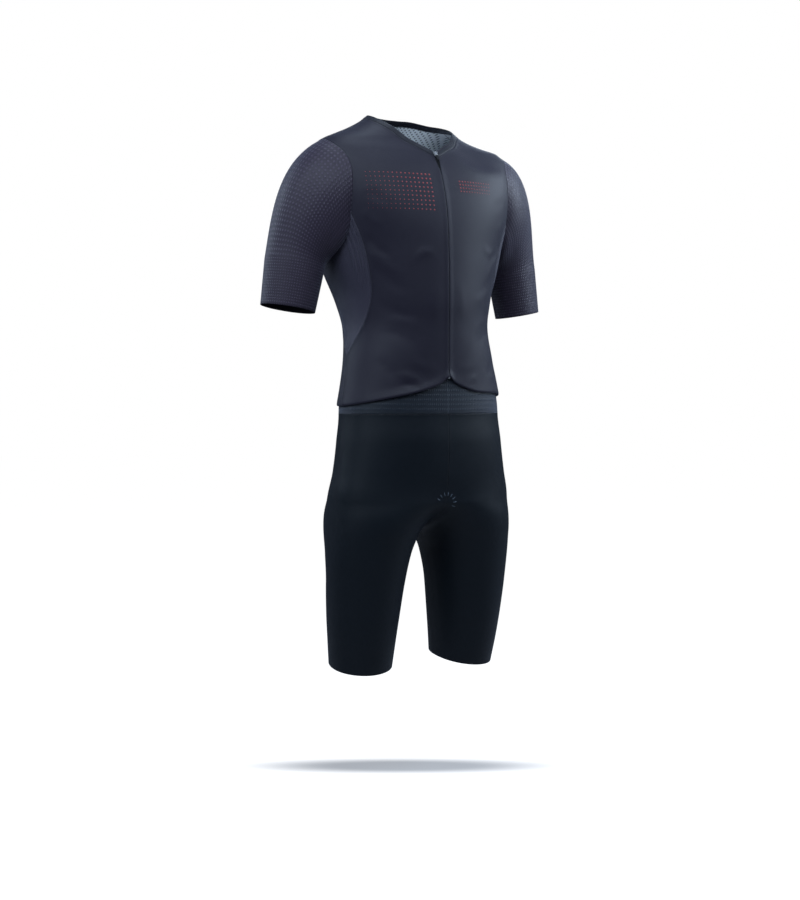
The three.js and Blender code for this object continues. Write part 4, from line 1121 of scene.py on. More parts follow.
# %% The collar band
COLLAR_PROFILE = [
    (1.0, 0.1), (0.985, 0.75), (0.9, 1.15), (0.7, 1.3), (0.45, 1.3), (0.2, 1.25), (0.06, 0.95), (-0.02, 0.2),
    (-0.02, -0.35), (0.05, -0.85), (0.2, -1.05), (0.5, -1.05), (0.8, -1.0), (0.96, -0.85), (1.0, -0.5),
]


def collar_grid():
    fractions = np.linspace(0, 1, 91)
    edge = np.vstack([spaced(edge_front, fractions), spaced(edge_back, fractions)[1:]])
    seam = np.vstack([spaced(neck_front, fractions), spaced(neck_back, fractions)[1:]])
    profile = np.array([*COLLAR_PROFILE, COLLAR_PROFILE[0]])
    around = mix(edge[:, 0], seam[:, 0], profile[:, :1])
    z = mix(edge[:, 1], seam[:, 1], profile[:, :1])
    points, normals = on_trunk(around, z), trunk_normal(around, z)
    placed = points + normals * profile[:, 1][:, None, None]
    middle = on_trunk(mix(edge[:, 0], seam[:, 0], 0.5), mix(edge[:, 1], seam[:, 1], 0.5))
    outwards = unit(placed - middle[None])
    return placed, outwards, cloth_uv(placed), np.full(placed.shape[:2], 9.0)


collar = collar_grid()
collar_piece = cloth_piece("collar_band", [collar, *flipped([collar])], [cloths["neck_binding"]], thickness=0)
dressed(collar_piece, "collar")

# %% [markdown]
# ## The waistband and the shorts
#
# The trunk has to split into two legs, and a lofted section can't do that. A distance can: the surface is
# where the distance from the trunk is blended with the softly joined distances from two leg ovals. Rays
# from inside each leg then find the skin, row by row, so the grid still runs level and meets the hem.

# %% The shorts' skin
BLEND_TO_LEGS = {"start": -590, "end": -660}
CROTCH_SOFTNESS = 28
HEM_PLANE = {"height": -920, "slope_back": 0.19, "slope_in": 0.068, "centre": (101, 4), "start": -760}
RAY_CENTRE = {"high": 84, "low": 100, "y": -8}
WAISTBAND = {"top": -415, "bottom": -490}
TUCK = {"depth": 3.1, "ends": -540}
OUTSIDE = 260
INSIDE_LEG = {"turn": 165, "more": 8, "fade": 15}


def oval_distance(dx, dy, half, depth, power):
    gauge = (np.abs(dx / half) ** power + np.abs(dy / depth) ** power) ** (1 / power)
    reach = np.hypot(dx, dy)
    return reach - reach / np.maximum(1e-6, gauge)


def trunk_distance(x, y, z):
    s = trunk_section(z)
    dy = y - s["widest"]
    depth = np.where(dy < 0, s["widest"] - s["front"], s["back"] - s["widest"])
    power = np.where(dy < 0, s["front_power"], s["back_power"])
    return oval_distance(x, dy, s["half"], depth, power)


def leg_distance(x, y, z):
    s = leg_table(z)
    widest = mix(s["widest_in"], s["widest_out"], (x - s["inner"]) / (s["outer"] - s["inner"]))
    dy = y - widest
    depth = np.where(dy < 0, widest - s["front"], s["back"] - widest)
    return oval_distance(x - (s["outer"] + s["inner"]) / 2, dy, (s["outer"] - s["inner"]) / 2, depth, 2)


def soft_min(a, b, softness):
    share = np.maximum(softness - np.abs(a - b), 0) / softness
    return np.minimum(a, b) - share * share * softness / 4


def shorts_distance(x, y, z):
    """The distance from the skin of the shorts, negative inside it."""
    to_legs = smooth(BLEND_TO_LEGS["start"], BLEND_TO_LEGS["end"], z)
    tuck = TUCK["depth"] * smooth(TUCK["ends"], WAISTBAND["bottom"], z)
    trunk = trunk_distance(x, y, z) + tuck
    legs = soft_min(leg_distance(x, y, z), leg_distance(-x, y, z), CROTCH_SOFTNESS)
    return mix(trunk, legs, to_legs)


def root(inside, outside, distance_at):
    near, far = np.asarray(inside, float), np.asarray(outside, float)
    for _ in range(34):
        middle = (near + far) / 2
        within = distance_at(middle) < 0
        near, far = np.where(within, middle, near), np.where(within, far, middle)
    return (near + far) / 2


def shorts_normal(points, step=0.4):
    x, y, z = points[..., 0], points[..., 1], points[..., 2]
    slopes = [
        shorts_distance(x + step, y, z) - shorts_distance(x - step, y, z),
        shorts_distance(x, y + step, z) - shorts_distance(x, y - step, z),
        shorts_distance(x, y, z + step) - shorts_distance(x, y, z - step),
    ]
    return unit(np.stack(slopes, -1))


def middle_of_crotch(z):
    front, back = np.full(np.shape(z), -70.0), np.full(np.shape(z), 70.0)
    for _ in range(40):
        third = (back - front) / 3
        deeper = shorts_distance(0, front + third, z) < shorts_distance(0, back - third, z)
        front, back = np.where(deeper, front, front + third), np.where(deeper, back - third, back)
    return (front + back) / 2


CROTCH = float(root(-640, -740, lambda z: shorts_distance(0, middle_of_crotch(z), z)))


def ray_centre(z):
    return mix(RAY_CENTRE["high"], RAY_CENTRE["low"], smooth(-640, -900, z))


def ray_points(turn, z):
    """Where rays from inside the leg meet the skin, `turn` degrees from outwards, front positive."""
    angle = np.radians(turn)
    centre = ray_centre(z)
    limit = np.minimum(OUTSIDE, centre / np.maximum(1e-6, -np.cos(angle)))
    limit = np.where(np.cos(angle) < 0, limit, OUTSIDE)

    def place(reach):
        return centre + reach * np.cos(angle), RAY_CENTRE["y"] - reach * np.sin(angle)

    height = z
    tilt = smooth(HEM_PLANE["start"], HEM_PLANE["height"], z)
    for _ in range(4):
        reach = root(np.zeros(np.shape(angle)), limit, lambda r: shorts_distance(*place(r), height))
        x, y = place(reach)
        lean = HEM_PLANE["slope_back"] * (y - HEM_PLANE["centre"][1])
        height = z + tilt * (lean - HEM_PLANE["slope_in"] * (x - HEM_PLANE["centre"][0]))
    return np.stack([x, y, height], -1)


ROUND_SHARE = graded(360, 3.1)


def open_rows(heights):
    """Rows from the centre front round the outside to the centre back, above the crotch."""
    z = np.asarray(heights, float)
    middle = middle_of_crotch(z)
    ends = [root(middle, side * OUTSIDE + 0 * z, lambda y: shorts_distance(0, y, z)) for side in (-1, 1)]
    turns = [np.degrees(np.arctan2(RAY_CENTRE["y"] - y, -ray_centre(z))) for y in ends]
    share = ROUND_SHARE[None]
    points = ray_points(mix(turns[0][:, None], turns[1][:, None], share), z[:, None] + 0 * share)
    for k, y in zip((0, -1), ends):
        points[:, k] = np.stack([0 * z, y, z], -1)
    return points


def closed_rows(heights):
    """Rows right round a leg, below the crotch, that start and end on the inside of the thigh."""
    z = np.asarray(heights, float)[:, None]
    start = INSIDE_LEG["turn"] + INSIDE_LEG["more"] * np.exp((z - CROTCH) / INSIDE_LEG["fade"])
    share = ROUND_SHARE[None]
    points = ray_points(mix(start, -start, share), z + 0 * share)
    inside = ray_points(np.full(z.shape, 180.0), z)
    return np.concatenate([inside, points, inside], axis=1)


print("crotch height, mm:", round(CROTCH, 1))

# %% The waistband and legs
FLAT_SEAM = 0.3
BAND_STEPS = 31
LEG_STEPS = {"first": (4, 6, 8.5, 12), "even_from": 16, "even": 64, "high": 3.4}


def band_grid():
    rows = np.linspace(WAISTBAND["top"], WAISTBAND["bottom"], BAND_STEPS)
    points = open_rows(rows)
    normals = shorts_normal(points)
    return points, normals, cloth_uv(points), np.abs(points[..., 2] - WAISTBAND["bottom"])


def leg_grids():
    height = WAISTBAND["bottom"] - CROTCH - 1
    upper = open_rows(WAISTBAND["bottom"] - graded(height, LEG_STEPS["high"]) * height)
    evenly = np.linspace(LEG_STEPS["even_from"], CROTCH - HEM_PLANE["height"], LEG_STEPS["even"])
    drops = np.concatenate([LEG_STEPS["first"], evenly])
    lower = closed_rows(CROTCH - drops)
    join = np.stack([upper[-1], lower[0][1:-1]])
    under = np.stack([
        np.stack([upper[-1, 0], upper[-1, 0], upper[-1, -1], upper[-1, -1]]),
        np.stack([lower[0, 1], lower[0, 0], lower[0, 0], lower[0, -2]]),
    ])
    whole = [upper, join, lower, under]
    seam = np.vstack([upper[:, 0], upper[:, -1], upper[0], lower[0:1, 0]])
    grids = []
    for points in whole:
        normals = shorts_normal(points)
        distance = distance_to(points, seam)
        lift = seam_relief(distance, FLAT_SEAM)
        grids.append((points + normals * lift[..., None], normals, cloth_uv(points), distance))
    return grids


band = band_grid()
legs = leg_grids()
band_materials = [cloths["elastic_band"], cloths["cut_edge"], cloths["cut_edge"]]
shorts_materials = [cloths["shorts_weave"], cloths["cut_edge"], cloths["cut_edge"]]
for side_name, turned in (("left", lambda grids: grids), ("right", flipped)):
    dressed(cloth_piece(f"waistband_{side_name}_cloth", turned([band]), band_materials),
            f"waistband_{side_name}")
    dressed(cloth_piece(f"leg_{side_name}_cloth", turned(legs), shorts_materials),
            f"leg_{side_name}")
print("leg rows:", [grid[0].shape[:2] for grid in legs])

# %% [markdown]
# ## The zip
#
# A coil zip is two woven tapes, sewn behind the folded edges, and a coil of teeth on each, which the
# slider draws together. The tapes are strips on the same form, a little deeper. The teeth repeat some
# five hundred times along a line, so one Geometry Nodes tree lays them: it measures the line out in
# even steps, turns a small rounded loop to face outwards at each, and sets it left and right in turn.
# The same tree lays every stitch of the seams afterwards.

# %% The tapes
ZIP = {"top": -46, "bottom": -430, "tape_from": 0.15, "tape_to": 13, "tape_deep": 1.55, "tape_thick": 0.7}
ZIP_TEETH = {"top": -55, "bottom": -426.5, "pitch": 0.72, "length": 0.62, "width": 2.5, "height": 0.8,
             "step": 0.55, "deep": 0.35, "line_step": 1.5}

TAPE_STEPS = {"down": 140, "across": 11}


def tape_grid():
    z = np.linspace(ZIP["bottom"], ZIP["top"], TAPE_STEPS["down"])[:, None]
    x = np.linspace(ZIP["tape_from"], ZIP["tape_to"], TAPE_STEPS["across"])[None]
    z, x = z + 0 * x, x + 0 * z
    around = aside(x, z)
    points, normals = on_trunk(around, z), trunk_normal(around, z)
    return points - normals * ZIP["tape_deep"], normals, cloth_uv(points), np.full(z.shape, 9.0)


tape = tape_grid()
for side_name, grids in (("left", [tape]), ("right", flipped([tape]))):
    strip = cloth_piece(f"zip_tape_{side_name}_cloth", grids, [cloths["zip_tape"]], ZIP["tape_thick"])
    strip.modifiers["wall"].material_offset = 0
    strip.modifiers["wall"].material_offset_rim = 0
    dressed(strip, f"zip_tape_{side_name}")
print("zip tape:", tape[0].shape[:2], "points")


# %% Plain materials for thread, teeth, print and metal
def plain_material(name, colour, roughness, metallic=0.0, grain=(120.0, 0.1), bump=0.02):
    """A small part's finish: its colour and gloss drift a little, and its surface is finely uneven."""
    material = bpy.data.materials.new(name)
    material.use_nodes = True
    tree = material.node_tree
    shader = tree.nodes["Principled BSDF"]
    shader.inputs["Metallic"].default_value = metallic
    place = add_node(tree, "ShaderNodeTexCoord").outputs["Object"]
    value = place_group(tree, PATCHES, place, *grain)["Value"]
    tint = add_node(tree, "ShaderNodeCombineXYZ", value, value, value).outputs[0]
    shade = add_node(tree, "ShaderNodeVectorMath", tint, operation="MULTIPLY")
    shade.inputs[1].default_value = colour
    tree.links.new(shade.outputs[0], shader.inputs["Base Color"])
    tree.links.new(calc(tree, "MULTIPLY", value, roughness), shader.inputs["Roughness"])
    uneven = add_node(tree, "ShaderNodeBump")
    uneven.inputs["Distance"].default_value = bump * MM
    tree.links.new(value, uneven.inputs["Height"])
    tree.links.new(uneven.outputs["Normal"], shader.inputs["Normal"])
    return material


THREAD = plain_material("thread", (0.016, 0.0165, 0.024), 0.5, grain=(900.0, 0.25))
SHORTS_THREAD = plain_material("shorts_thread", (0.009, 0.013, 0.018), 0.5, grain=(900.0, 0.25))
PALE_THREAD = plain_material("pale_thread", (0.16, 0.2, 0.26), 0.5, grain=(900.0, 0.25))
TEETH = plain_material("zip_teeth", (0.006, 0.006, 0.008), 0.35, grain=(700.0, 0.15))
RED_PRINT = plain_material("red_print", (0.34, 0.045, 0.05), 0.6, grain=(350.0, 0.12))
BRIGHT_METAL = plain_material("bright_metal", (0.62, 0.64, 0.68), 0.4, 0.7, grain=(500.0, 0.15))
DARK_METAL = plain_material("dark_metal", (0.035, 0.036, 0.042), 0.42, 0.6, grain=(400.0, 0.2))
print("small parts: thread, teeth, print and two metals")


# %% The tree that lays things along a line, and the one that lays them on points
def rounded_item(tree, given):
    """A low rounded lump of the given length, width and height, for a stitch or a tooth."""
    ball = add_node(tree, "GeometryNodeMeshUVSphere", 6, 4, 0.5)
    size = add_node(tree, "ShaderNodeCombineXYZ", given["Length"], given["Width"], given["Height"])
    shaped = tree.nodes.new("GeometryNodeTransform")
    tree.links.new(ball.outputs["Mesh"], shaped.inputs["Geometry"])
    tree.links.new(size.outputs[0], shaped.inputs["Scale"])
    return shaped.outputs[0]


def facing_out(tree, along):
    """The turn that points an item's length along the line and its height out of the cloth."""
    out = add_node(tree, "GeometryNodeInputNamedAttribute", "out", data_type="FLOAT_VECTOR")
    turned = add_node(tree, "FunctionNodeAxesToRotation", primary_axis="Z", secondary_axis="X")
    tree.links.new(out.outputs["Attribute"], turned.inputs["Primary Axis"])
    tree.links.new(along, turned.inputs["Secondary Axis"])
    return turned.outputs[0]


def laying_tree(name, extra_inputs):
    sizes = [("Length", 0.003), ("Width", 0.0005), ("Height", 0.0004), *extra_inputs]
    inputs = [("Geometry", "NodeSocketGeometry", None)]
    inputs += [(label, "NodeSocketFloat", value) for label, value in sizes]
    inputs.append(("Material", "NodeSocketMaterial", None))
    return new_group(name, inputs, [("Geometry", "NodeSocketGeometry")], "GeometryNodeTree")


def finish_tree(tree, given, result, instances):
    real = add_node(tree, "GeometryNodeRealizeInstances", instances)
    soft = add_node(tree, "GeometryNodeSetShadeSmooth", real.outputs[0])
    done = tree.nodes.new("GeometryNodeSetMaterial")
    tree.links.new(soft.outputs[0], done.inputs["Geometry"])
    tree.links.new(given["Material"], done.inputs["Material"])
    tree.links.new(done.outputs[0], result["Geometry"])
    return tree


def path_tree():
    tree, given, result = laying_tree("laid_along_lines", [("Pitch", 0.003), ("Step", 0.0)])
    line = add_node(tree, "GeometryNodeMeshToCurve", given["Geometry"])
    even = add_node(tree, "GeometryNodeResampleCurve", mode="LENGTH")
    tree.links.new(line.outputs[0], even.inputs["Curve"])
    tree.links.new(given["Pitch"], even.inputs["Length"])
    placed = add_node(tree, "GeometryNodeInstanceOnPoints", even.outputs[0])
    tree.links.new(rounded_item(tree, given), placed.inputs["Instance"])
    along = add_node(tree, "GeometryNodeInputTangent").outputs[0]
    tree.links.new(facing_out(tree, along), placed.inputs["Rotation"])
    parity = calc(tree, "MODULO", add_node(tree, "GeometryNodeInputIndex").outputs[0], 2.0)
    step = calc(tree, "MULTIPLY", calc(tree, "MULTIPLY_ADD", parity, 2.0, -1.0), given["Step"])
    moved = add_node(tree, "GeometryNodeTranslateInstances", placed.outputs[0])
    beside = add_node(tree, "ShaderNodeCombineXYZ", None, step, None)
    tree.links.new(beside.outputs[0], moved.inputs["Translation"])
    moved.inputs["Local Space"].default_value = True
    return finish_tree(tree, given, result, moved.outputs[0])


def point_tree():
    """Low discs or lumps on points, each turned to its own direction and scaled by its own size."""
    tree, given, result = laying_tree("laid_on_points", [("Flat", 0.0)])
    disc = add_node(tree, "GeometryNodeMeshCylinder", 12)
    disc.inputs["Radius"].default_value = 0.5
    disc.inputs["Depth"].default_value = 1
    size = add_node(tree, "ShaderNodeCombineXYZ", given["Length"], given["Width"], given["Height"])
    shaped = tree.nodes.new("GeometryNodeTransform")
    tree.links.new(disc.outputs["Mesh"], shaped.inputs["Geometry"])
    tree.links.new(size.outputs[0], shaped.inputs["Scale"])
    chosen = add_node(tree, "GeometryNodeSwitch", input_type="GEOMETRY")
    tree.links.new(given["Flat"], chosen.inputs["Switch"])
    tree.links.new(rounded_item(tree, given), chosen.inputs["False"])
    tree.links.new(shaped.outputs[0], chosen.inputs["True"])
    placed = add_node(tree, "GeometryNodeInstanceOnPoints", given["Geometry"])
    tree.links.new(chosen.outputs[0], placed.inputs["Instance"])
    along = add_node(tree, "GeometryNodeInputNamedAttribute", "along", data_type="FLOAT_VECTOR")
    tree.links.new(facing_out(tree, along.outputs["Attribute"]), placed.inputs["Rotation"])
    scale = add_node(tree, "GeometryNodeInputNamedAttribute", "size", data_type="FLOAT")
    tree.links.new(scale.outputs["Attribute"], placed.inputs["Scale"])
    return finish_tree(tree, given, result, placed.outputs[0])


PATH_TREE, POINT_TREE = path_tree(), point_tree()
print("trees:", PATH_TREE.name, POINT_TREE.name)


# %% Running a tree and keeping its result as a plain mesh
def guide_mesh(name, points, edges, **vectors):
    """Bare points or lines with attributes that a tree reads."""
    mesh = bpy.data.meshes.new(name)
    mesh.from_pydata(points * MM, edges, [])
    for label, values in vectors.items():
        kind = "FLOAT_VECTOR" if values.ndim == 2 else "FLOAT"
        layer = mesh.attributes.new(label, kind, "POINT")
        key = "vector" if kind == "FLOAT_VECTOR" else "value"
        layer.data.foreach_set(key, values.astype(np.float32).ravel())
    return mesh


def laid(name, guide, tree, material, **sizes):
    """A mesh of all that the tree lays on the guide, with sizes in millimetres."""
    holder = bpy.data.objects.new(name + "_guide", guide)
    bpy.context.scene.collection.objects.link(holder)
    layer = holder.modifiers.new("laid", "NODES")
    layer.node_group = tree
    for item in tree.interface.items_tree:
        if item.in_out == "INPUT" and item.name in sizes:
            layer[item.identifier] = sizes[item.name] * (1 if item.name == "Flat" else MM)
        if item.name == "Material":
            layer[item.identifier] = material
    graph = bpy.context.evaluated_depsgraph_get()
    mesh = bpy.data.meshes.new_from_object(holder.evaluated_get(graph), depsgraph=graph)
    mesh.name = name
    bpy.data.objects.remove(holder)
    for label in ("out", "along", "size"):
        if label in mesh.attributes:
            mesh.attributes.remove(mesh.attributes[label])
    piece = bpy.data.objects.new(name, mesh)
    bpy.context.scene.collection.objects.link(piece)
    print(name + ":", len(mesh.polygons), "faces")
    return piece


def joined_lines(lines):
    """Points, edges and normals of several open lines, each a pair of points and normals."""
    points = np.vstack([line for line, _ in lines])
    normals = np.vstack([normal for _, normal in lines])
    edges, start = [], 0
    for line, _ in lines:
        edges += [(start + i, start + i + 1) for i in range(len(line) - 1)]
        start += len(line)
    return points, edges, normals


# %% The teeth
def teeth_line():
    z = np.arange(ZIP_TEETH["bottom"], ZIP_TEETH["top"], ZIP_TEETH["line_step"])
    normals = trunk_normal(0 * z, z)
    return on_trunk(0 * z, z) - normals * ZIP_TEETH["deep"], normals


points, edges, normals = joined_lines([teeth_line()])
teeth = laid("zip_coil_teeth", guide_mesh("teeth_line", points, edges, out=normals), PATH_TREE, TEETH,
             Length=ZIP_TEETH["length"], Width=ZIP_TEETH["width"], Height=ZIP_TEETH["height"],
             Pitch=ZIP_TEETH["pitch"], Step=ZIP_TEETH["step"])
dressed(teeth, "zip_coil")

# %% [markdown]
# The slider is a cast body with two ears and a pin, and the pull hangs from the pin and turns on it, so
# it is a piece of its own that rides on the pull's body. Small hard parts like these look real through
# their soft edges: each outline is extruded, and a Bevel modifier rounds it.

# %% The slider, the pull and the stop
SLIDER = {"z": -49, "top": 7, "bottom": 5.4, "length": 10, "front": 2.4, "back": 0.9, "waist": 6.0}
EAR = {"inside": 1.9, "thick": 0.9, "length": 3, "front": 4.6, "up": 2.5}
PULL = {"axis": 3.6, "neck": 3, "width": 5, "neck_length": 2.4, "length": 16, "thick": 1, "link": 6.2}
PIN = {"radius": 0.5, "reach": 2.6, "sides": 20}
STOP = {"width": 5, "length": 4, "front": 1.6, "back": 0.75, "corner": 0.7}
EDGE_SOFTNESS = 0.22


def zip_frame(z):
    """The place and the axes of the zip at a height: across, up the cloth, and out of it."""
    out = trunk_normal(np.array(0.0), np.array(float(z)))
    across = np.array([1.0, 0, 0])
    return on_trunk(np.array(0.0), np.array(float(z))), across, np.cross(out, across), out


def solid_outline(work, outline, low, high, frame):
    """A prism over an outline in the zip's own frame."""
    origin, across, up, out = frame
    rings = []
    for depth in (low, high):
        ring = [work.verts.new(Vector(origin + across * x + up * y + out * depth) * MM) for x, y in outline]
        rings.append(ring)
    work.faces.new(rings[0][::-1])
    work.faces.new(rings[1])
    for i in range(len(outline)):
        j = (i + 1) % len(outline)
        work.faces.new((rings[0][i], rings[0][j], rings[1][j], rings[1][i]))


def arc(centre, radius, start, end, steps=8):
    turn = np.radians(np.linspace(start, end, steps))
    return [(centre[0] + radius * math.cos(t), centre[1] + radius * math.sin(t)) for t in turn]


def rounded_box(width, length, corner, centre=(0, 0)):
    x, y = width / 2 - corner, length / 2 - corner
    cx, cy = centre
    return [*arc((cx + x, cy + y), corner, 0, 90), *arc((cx - x, cy + y), corner, 90, 180),
            *arc((cx - x, cy - y), corner, 180, 270), *arc((cx + x, cy - y), corner, 270, 360)]


def metal_piece(name, prisms, frame, material, softness=EDGE_SOFTNESS):
    work = bmesh.new()
    for outline, low, high in prisms:
        solid_outline(work, outline, low, high, frame)
    bmesh.ops.recalc_face_normals(work, faces=work.faces)
    mesh = bpy.data.meshes.new(name)
    work.to_mesh(mesh)
    work.free()
    mesh.materials.append(material)
    mesh.shade_smooth()
    piece = bpy.data.objects.new(name, mesh)
    bpy.context.scene.collection.objects.link(piece)
    soft = piece.modifiers.new("soft_edges", "BEVEL")
    soft.width = softness * MM
    soft.segments = 3
    soft.limit_method = "ANGLE"
    soft.angle_limit = math.radians(40)
    soft.harden_normals = True
    return piece


def slider_outline(grow=0.0):
    """A shield: wide at the shoulders, drawn in at the waist, and rounded at the foot."""
    s = SLIDER
    half = s["length"] / 2 + grow
    right = [(s["bottom"] / 2 + grow, -half + 1.4), (s["waist"] / 2 - 0.45 + grow, 0),
             (s["top"] / 2 + grow, half - 2.2)]
    corner = arc((s["top"] / 2 - 1.6, half - 1.6), 1.6 + grow, 10, 90, 6)
    foot = arc((0, -half + s["bottom"] / 2), s["bottom"] / 2 + grow, 300, 340, 5)
    side = [*foot, *right, *corner]
    return side + [(-x, y) for x, y in side[::-1]]


def slider_piece(frame):
    s = SLIDER
    ear = rounded_box(EAR["thick"], EAR["length"], 0.3)
    prisms = [(slider_outline(), s["back"], s["front"]),
              (slider_outline(-0.9), s["front"] - 0.1, s["front"] + 0.1)]
    for turn in (-1, 1):
        middle = turn * (EAR["inside"] + EAR["thick"] / 2)
        prisms.append(([(x + middle, y + EAR["up"]) for x, y in ear], s["front"] - 0.2, EAR["front"]))
    return metal_piece("slider_body", prisms, frame, BRIGHT_METAL)


def pin_piece(frame):
    origin, across, up, out = frame
    middle = origin + up * EAR["up"] + out * PULL["axis"]
    work = bmesh.new()
    rings = []
    for x in (-PIN["reach"], PIN["reach"]):
        turns = np.linspace(0, 2 * math.pi, PIN["sides"], endpoint=False)
        rings.append([work.verts.new(Vector(middle + across * x
                     + PIN["radius"] * (up * math.cos(t) + out * math.sin(t))) * MM) for t in turns])
    work.faces.new(rings[0][::-1])
    work.faces.new(rings[1])
    for i in range(PIN["sides"]):
        j = (i + 1) % PIN["sides"]
        work.faces.new((rings[0][i], rings[0][j], rings[1][j], rings[1][i]))
    bmesh.ops.recalc_face_normals(work, faces=work.faces)
    mesh = bpy.data.meshes.new("slider_pin")
    work.to_mesh(mesh)
    work.free()
    mesh.materials.append(BRIGHT_METAL)
    pin = bpy.data.objects.new("slider_pin", mesh)
    bpy.context.scene.collection.objects.link(pin)
    return pin


def pull_link(frame):
    """The bright end of the pull: a round eye on the pin, a neck and two shoulders."""
    p, up = PULL, EAR["up"]
    half, neck, low = p["width"] / 2, p["neck"] / 2 - 0.6, p["axis"] - p["thick"] / 2
    outline = [(-half, up - p["link"]), (half, up - p["link"]), (half, up - p["neck_length"] - 1.6),
               (neck, up - p["neck_length"]), *arc((0, up), p["neck"] / 2 - 0.5, -20, 200, 15),
               (-neck, up - p["neck_length"]), (-half, up - p["neck_length"] - 1.6)]
    return metal_piece("pull_link", [(outline, low, low + p["thick"])], frame, BRIGHT_METAL, 0.18)


def pull_tab(frame):
    """The dark blade below it, with a raised grip."""
    p, up = PULL, EAR["up"]
    half, low = p["width"] / 2, p["axis"] - p["thick"] / 2
    outline = [*arc((0, up - p["length"] + half), half, 180, 360, 17),
               (half, up - p["link"] + 0.4), (-half, up - p["link"] + 0.4)]
    grip = rounded_box(p["width"] - 1.7, p["length"] * 0.42, 1.2, (0, up - p["length"] * 0.62))
    prisms = [(outline, low - 0.02, low + p["thick"] + 0.02),
              (grip, low + p["thick"] - 0.05, low + p["thick"] + 0.22)]
    return metal_piece("pull_tab", prisms, frame, DARK_METAL, 0.18)


slider_frame = zip_frame(SLIDER["z"])
dressed(slider_piece(slider_frame), "zip_slider")
dressed(pin_piece(slider_frame), "zip_slider")
dressed(pull_link(slider_frame), "zip_pull", body="pull")
dressed(pull_tab(slider_frame), "zip_pull", body="pull")
stop_frame = zip_frame(ZIP["bottom"] - 1 + STOP["length"] / 2)
stop_prism = (rounded_box(STOP["width"], STOP["length"], STOP["corner"]), -STOP["back"], STOP["front"])
stop = metal_piece("zip_stop_clip", [stop_prism], stop_frame, BRIGHT_METAL)
dressed(stop, "zip_stop")
print("slider stands at, mm:", np.round(slider_frame[0], 1))

# %% [markdown]
# ## Stitches, pad marks and print
#
# Thread, a pad's radial tacks and a print all sit on the finished cloth, relief and thickness included.
# So each place is first found on the form, and then dropped straight onto the meshes with a ray.
# Flatlock seams show a row of stitches on either side of the join; the free hem has two rows of its own.

# %% Finding the finished surface
CLOTH_PIECES = [piece for piece in bpy.context.scene.objects
                if piece.name.endswith(("_cloth", "_band")) and "tape" not in piece.name]


def surface_tree():
    graph = bpy.context.evaluated_depsgraph_get()
    corners, polygons, start = [], [], 0
    for piece in CLOTH_PIECES:
        mesh = piece.evaluated_get(graph).to_mesh()
        corners += [tuple(vertex.co) for vertex in mesh.vertices]
        polygons += [tuple(start + i for i in face.vertices) for face in mesh.polygons]
        start = len(corners)
    return BVHTree.FromPolygons(corners, polygons)


SURFACE = surface_tree()
REACH = 14


def on_cloth(points, normals, rise, moved=worn):
    """Points dropped onto the outermost cloth along their normals, and raised by `rise`."""
    points = moved(points)
    placed, facing, kept = [], [], []
    for point, normal in zip(points, normals):
        start = Vector((point + normal * REACH) * MM)
        hit, _, _, _ = SURFACE.ray_cast(start, -Vector(normal), 2 * REACH * MM)
        kept.append(hit is not None)
        placed.append(np.array(hit) / MM + normal * rise if hit else point)
        facing.append(normal)
    kept = np.array(kept)
    return np.array(placed)[kept], np.array(facing)[kept]


def beside_line(points, normals, offset):
    """A line moved sideways in the cloth."""
    along = unit(np.gradient(points, axis=0))
    return points + unit(np.cross(along, normals)) * offset


def trunk_line(line, step=1.5, rise=0.0, start=0.002):
    count = max(4, int(seam_length(line) / step))
    place = spaced(line, np.linspace(start, 0.998, count))
    z = place[:, 1] + rise
    return on_trunk(place[:, 0], z), trunk_normal(place[:, 0], z)


print("surface for the stitches:", len(CLOTH_PIECES), "pieces")

# %% The seams that are stitched
STITCH = {"pitch": 3.0, "length": 2.2, "width": 0.5, "height": 0.4, "sink": 0.04, "aside": 1.9}
HEM_ROWS = (9.0, 12.0)
BAND_ROWS = (-2.2, 2.2)


def mirrored_rows(rows):
    turn = np.array([-1.0, 1, 1])
    return rows + [(points * turn, normals * turn) for points, normals in rows]


def top_rows():
    rows = []
    for line, sides in ((side_front, (1, -1)), (side_back, (1, -1)), (shoulder_seam, (1, -1)),
                        (side_seam, (1, -1)), (neck_front, (1, -1)), (neck_back, (1, -1)),
                        (armhole_front, (1,)), (armhole_back, (1,)), (armpit, (1,))):
        points, normals = trunk_line(line)
        for side_sign in sides:
            rows.append((beside_line(points, normals, side_sign * STITCH["aside"]), normals))
    for line, start in ((hem_front, 0.022), (hem_back, 0.002)):
        for rise in HEM_ROWS:
            rows.append(trunk_line(line, rise=rise, start=start))
    return mirrored_rows(rows)


def shorts_rows():
    upper, lower = legs[0][0], legs[2][0]
    rows = []
    for column in (upper[:, 0], upper[:, -1]):
        steps = column[::2] + np.array([STITCH["aside"], 0, 0])
        rows.append((steps, shorts_normal(steps)))
    for shift in BAND_ROWS:
        row = band[0][-1] + np.array([0, 0, shift])
        rows.append((row, shorts_normal(row)))
    inseam = lower[2:, 0]
    for shift in (-STITCH["aside"], STITCH["aside"]):
        row = inseam + np.array([0, shift, 0])
        rows.append((row, shorts_normal(row)))
    return mirrored_rows(rows)


def stitched(name, rows, material, moved):
    lines = [on_cloth(points, normals, -STITCH["sink"], moved) for points, normals in rows]
    points, edges, normals = joined_lines([line for line in lines if len(line[0]) > 3])
    piece = laid(name, guide_mesh(name + "_lines", points, edges, out=normals), PATH_TREE, material,
                 Length=STITCH["length"], Width=STITCH["width"], Height=STITCH["height"],
                 Pitch=STITCH["pitch"], Step=0)
    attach(piece, "suit")
    return piece


stitched("top_stitches", top_rows(), THREAD, worn)
stitched("shorts_stitches", shorts_rows(), SHORTS_THREAD, settled)

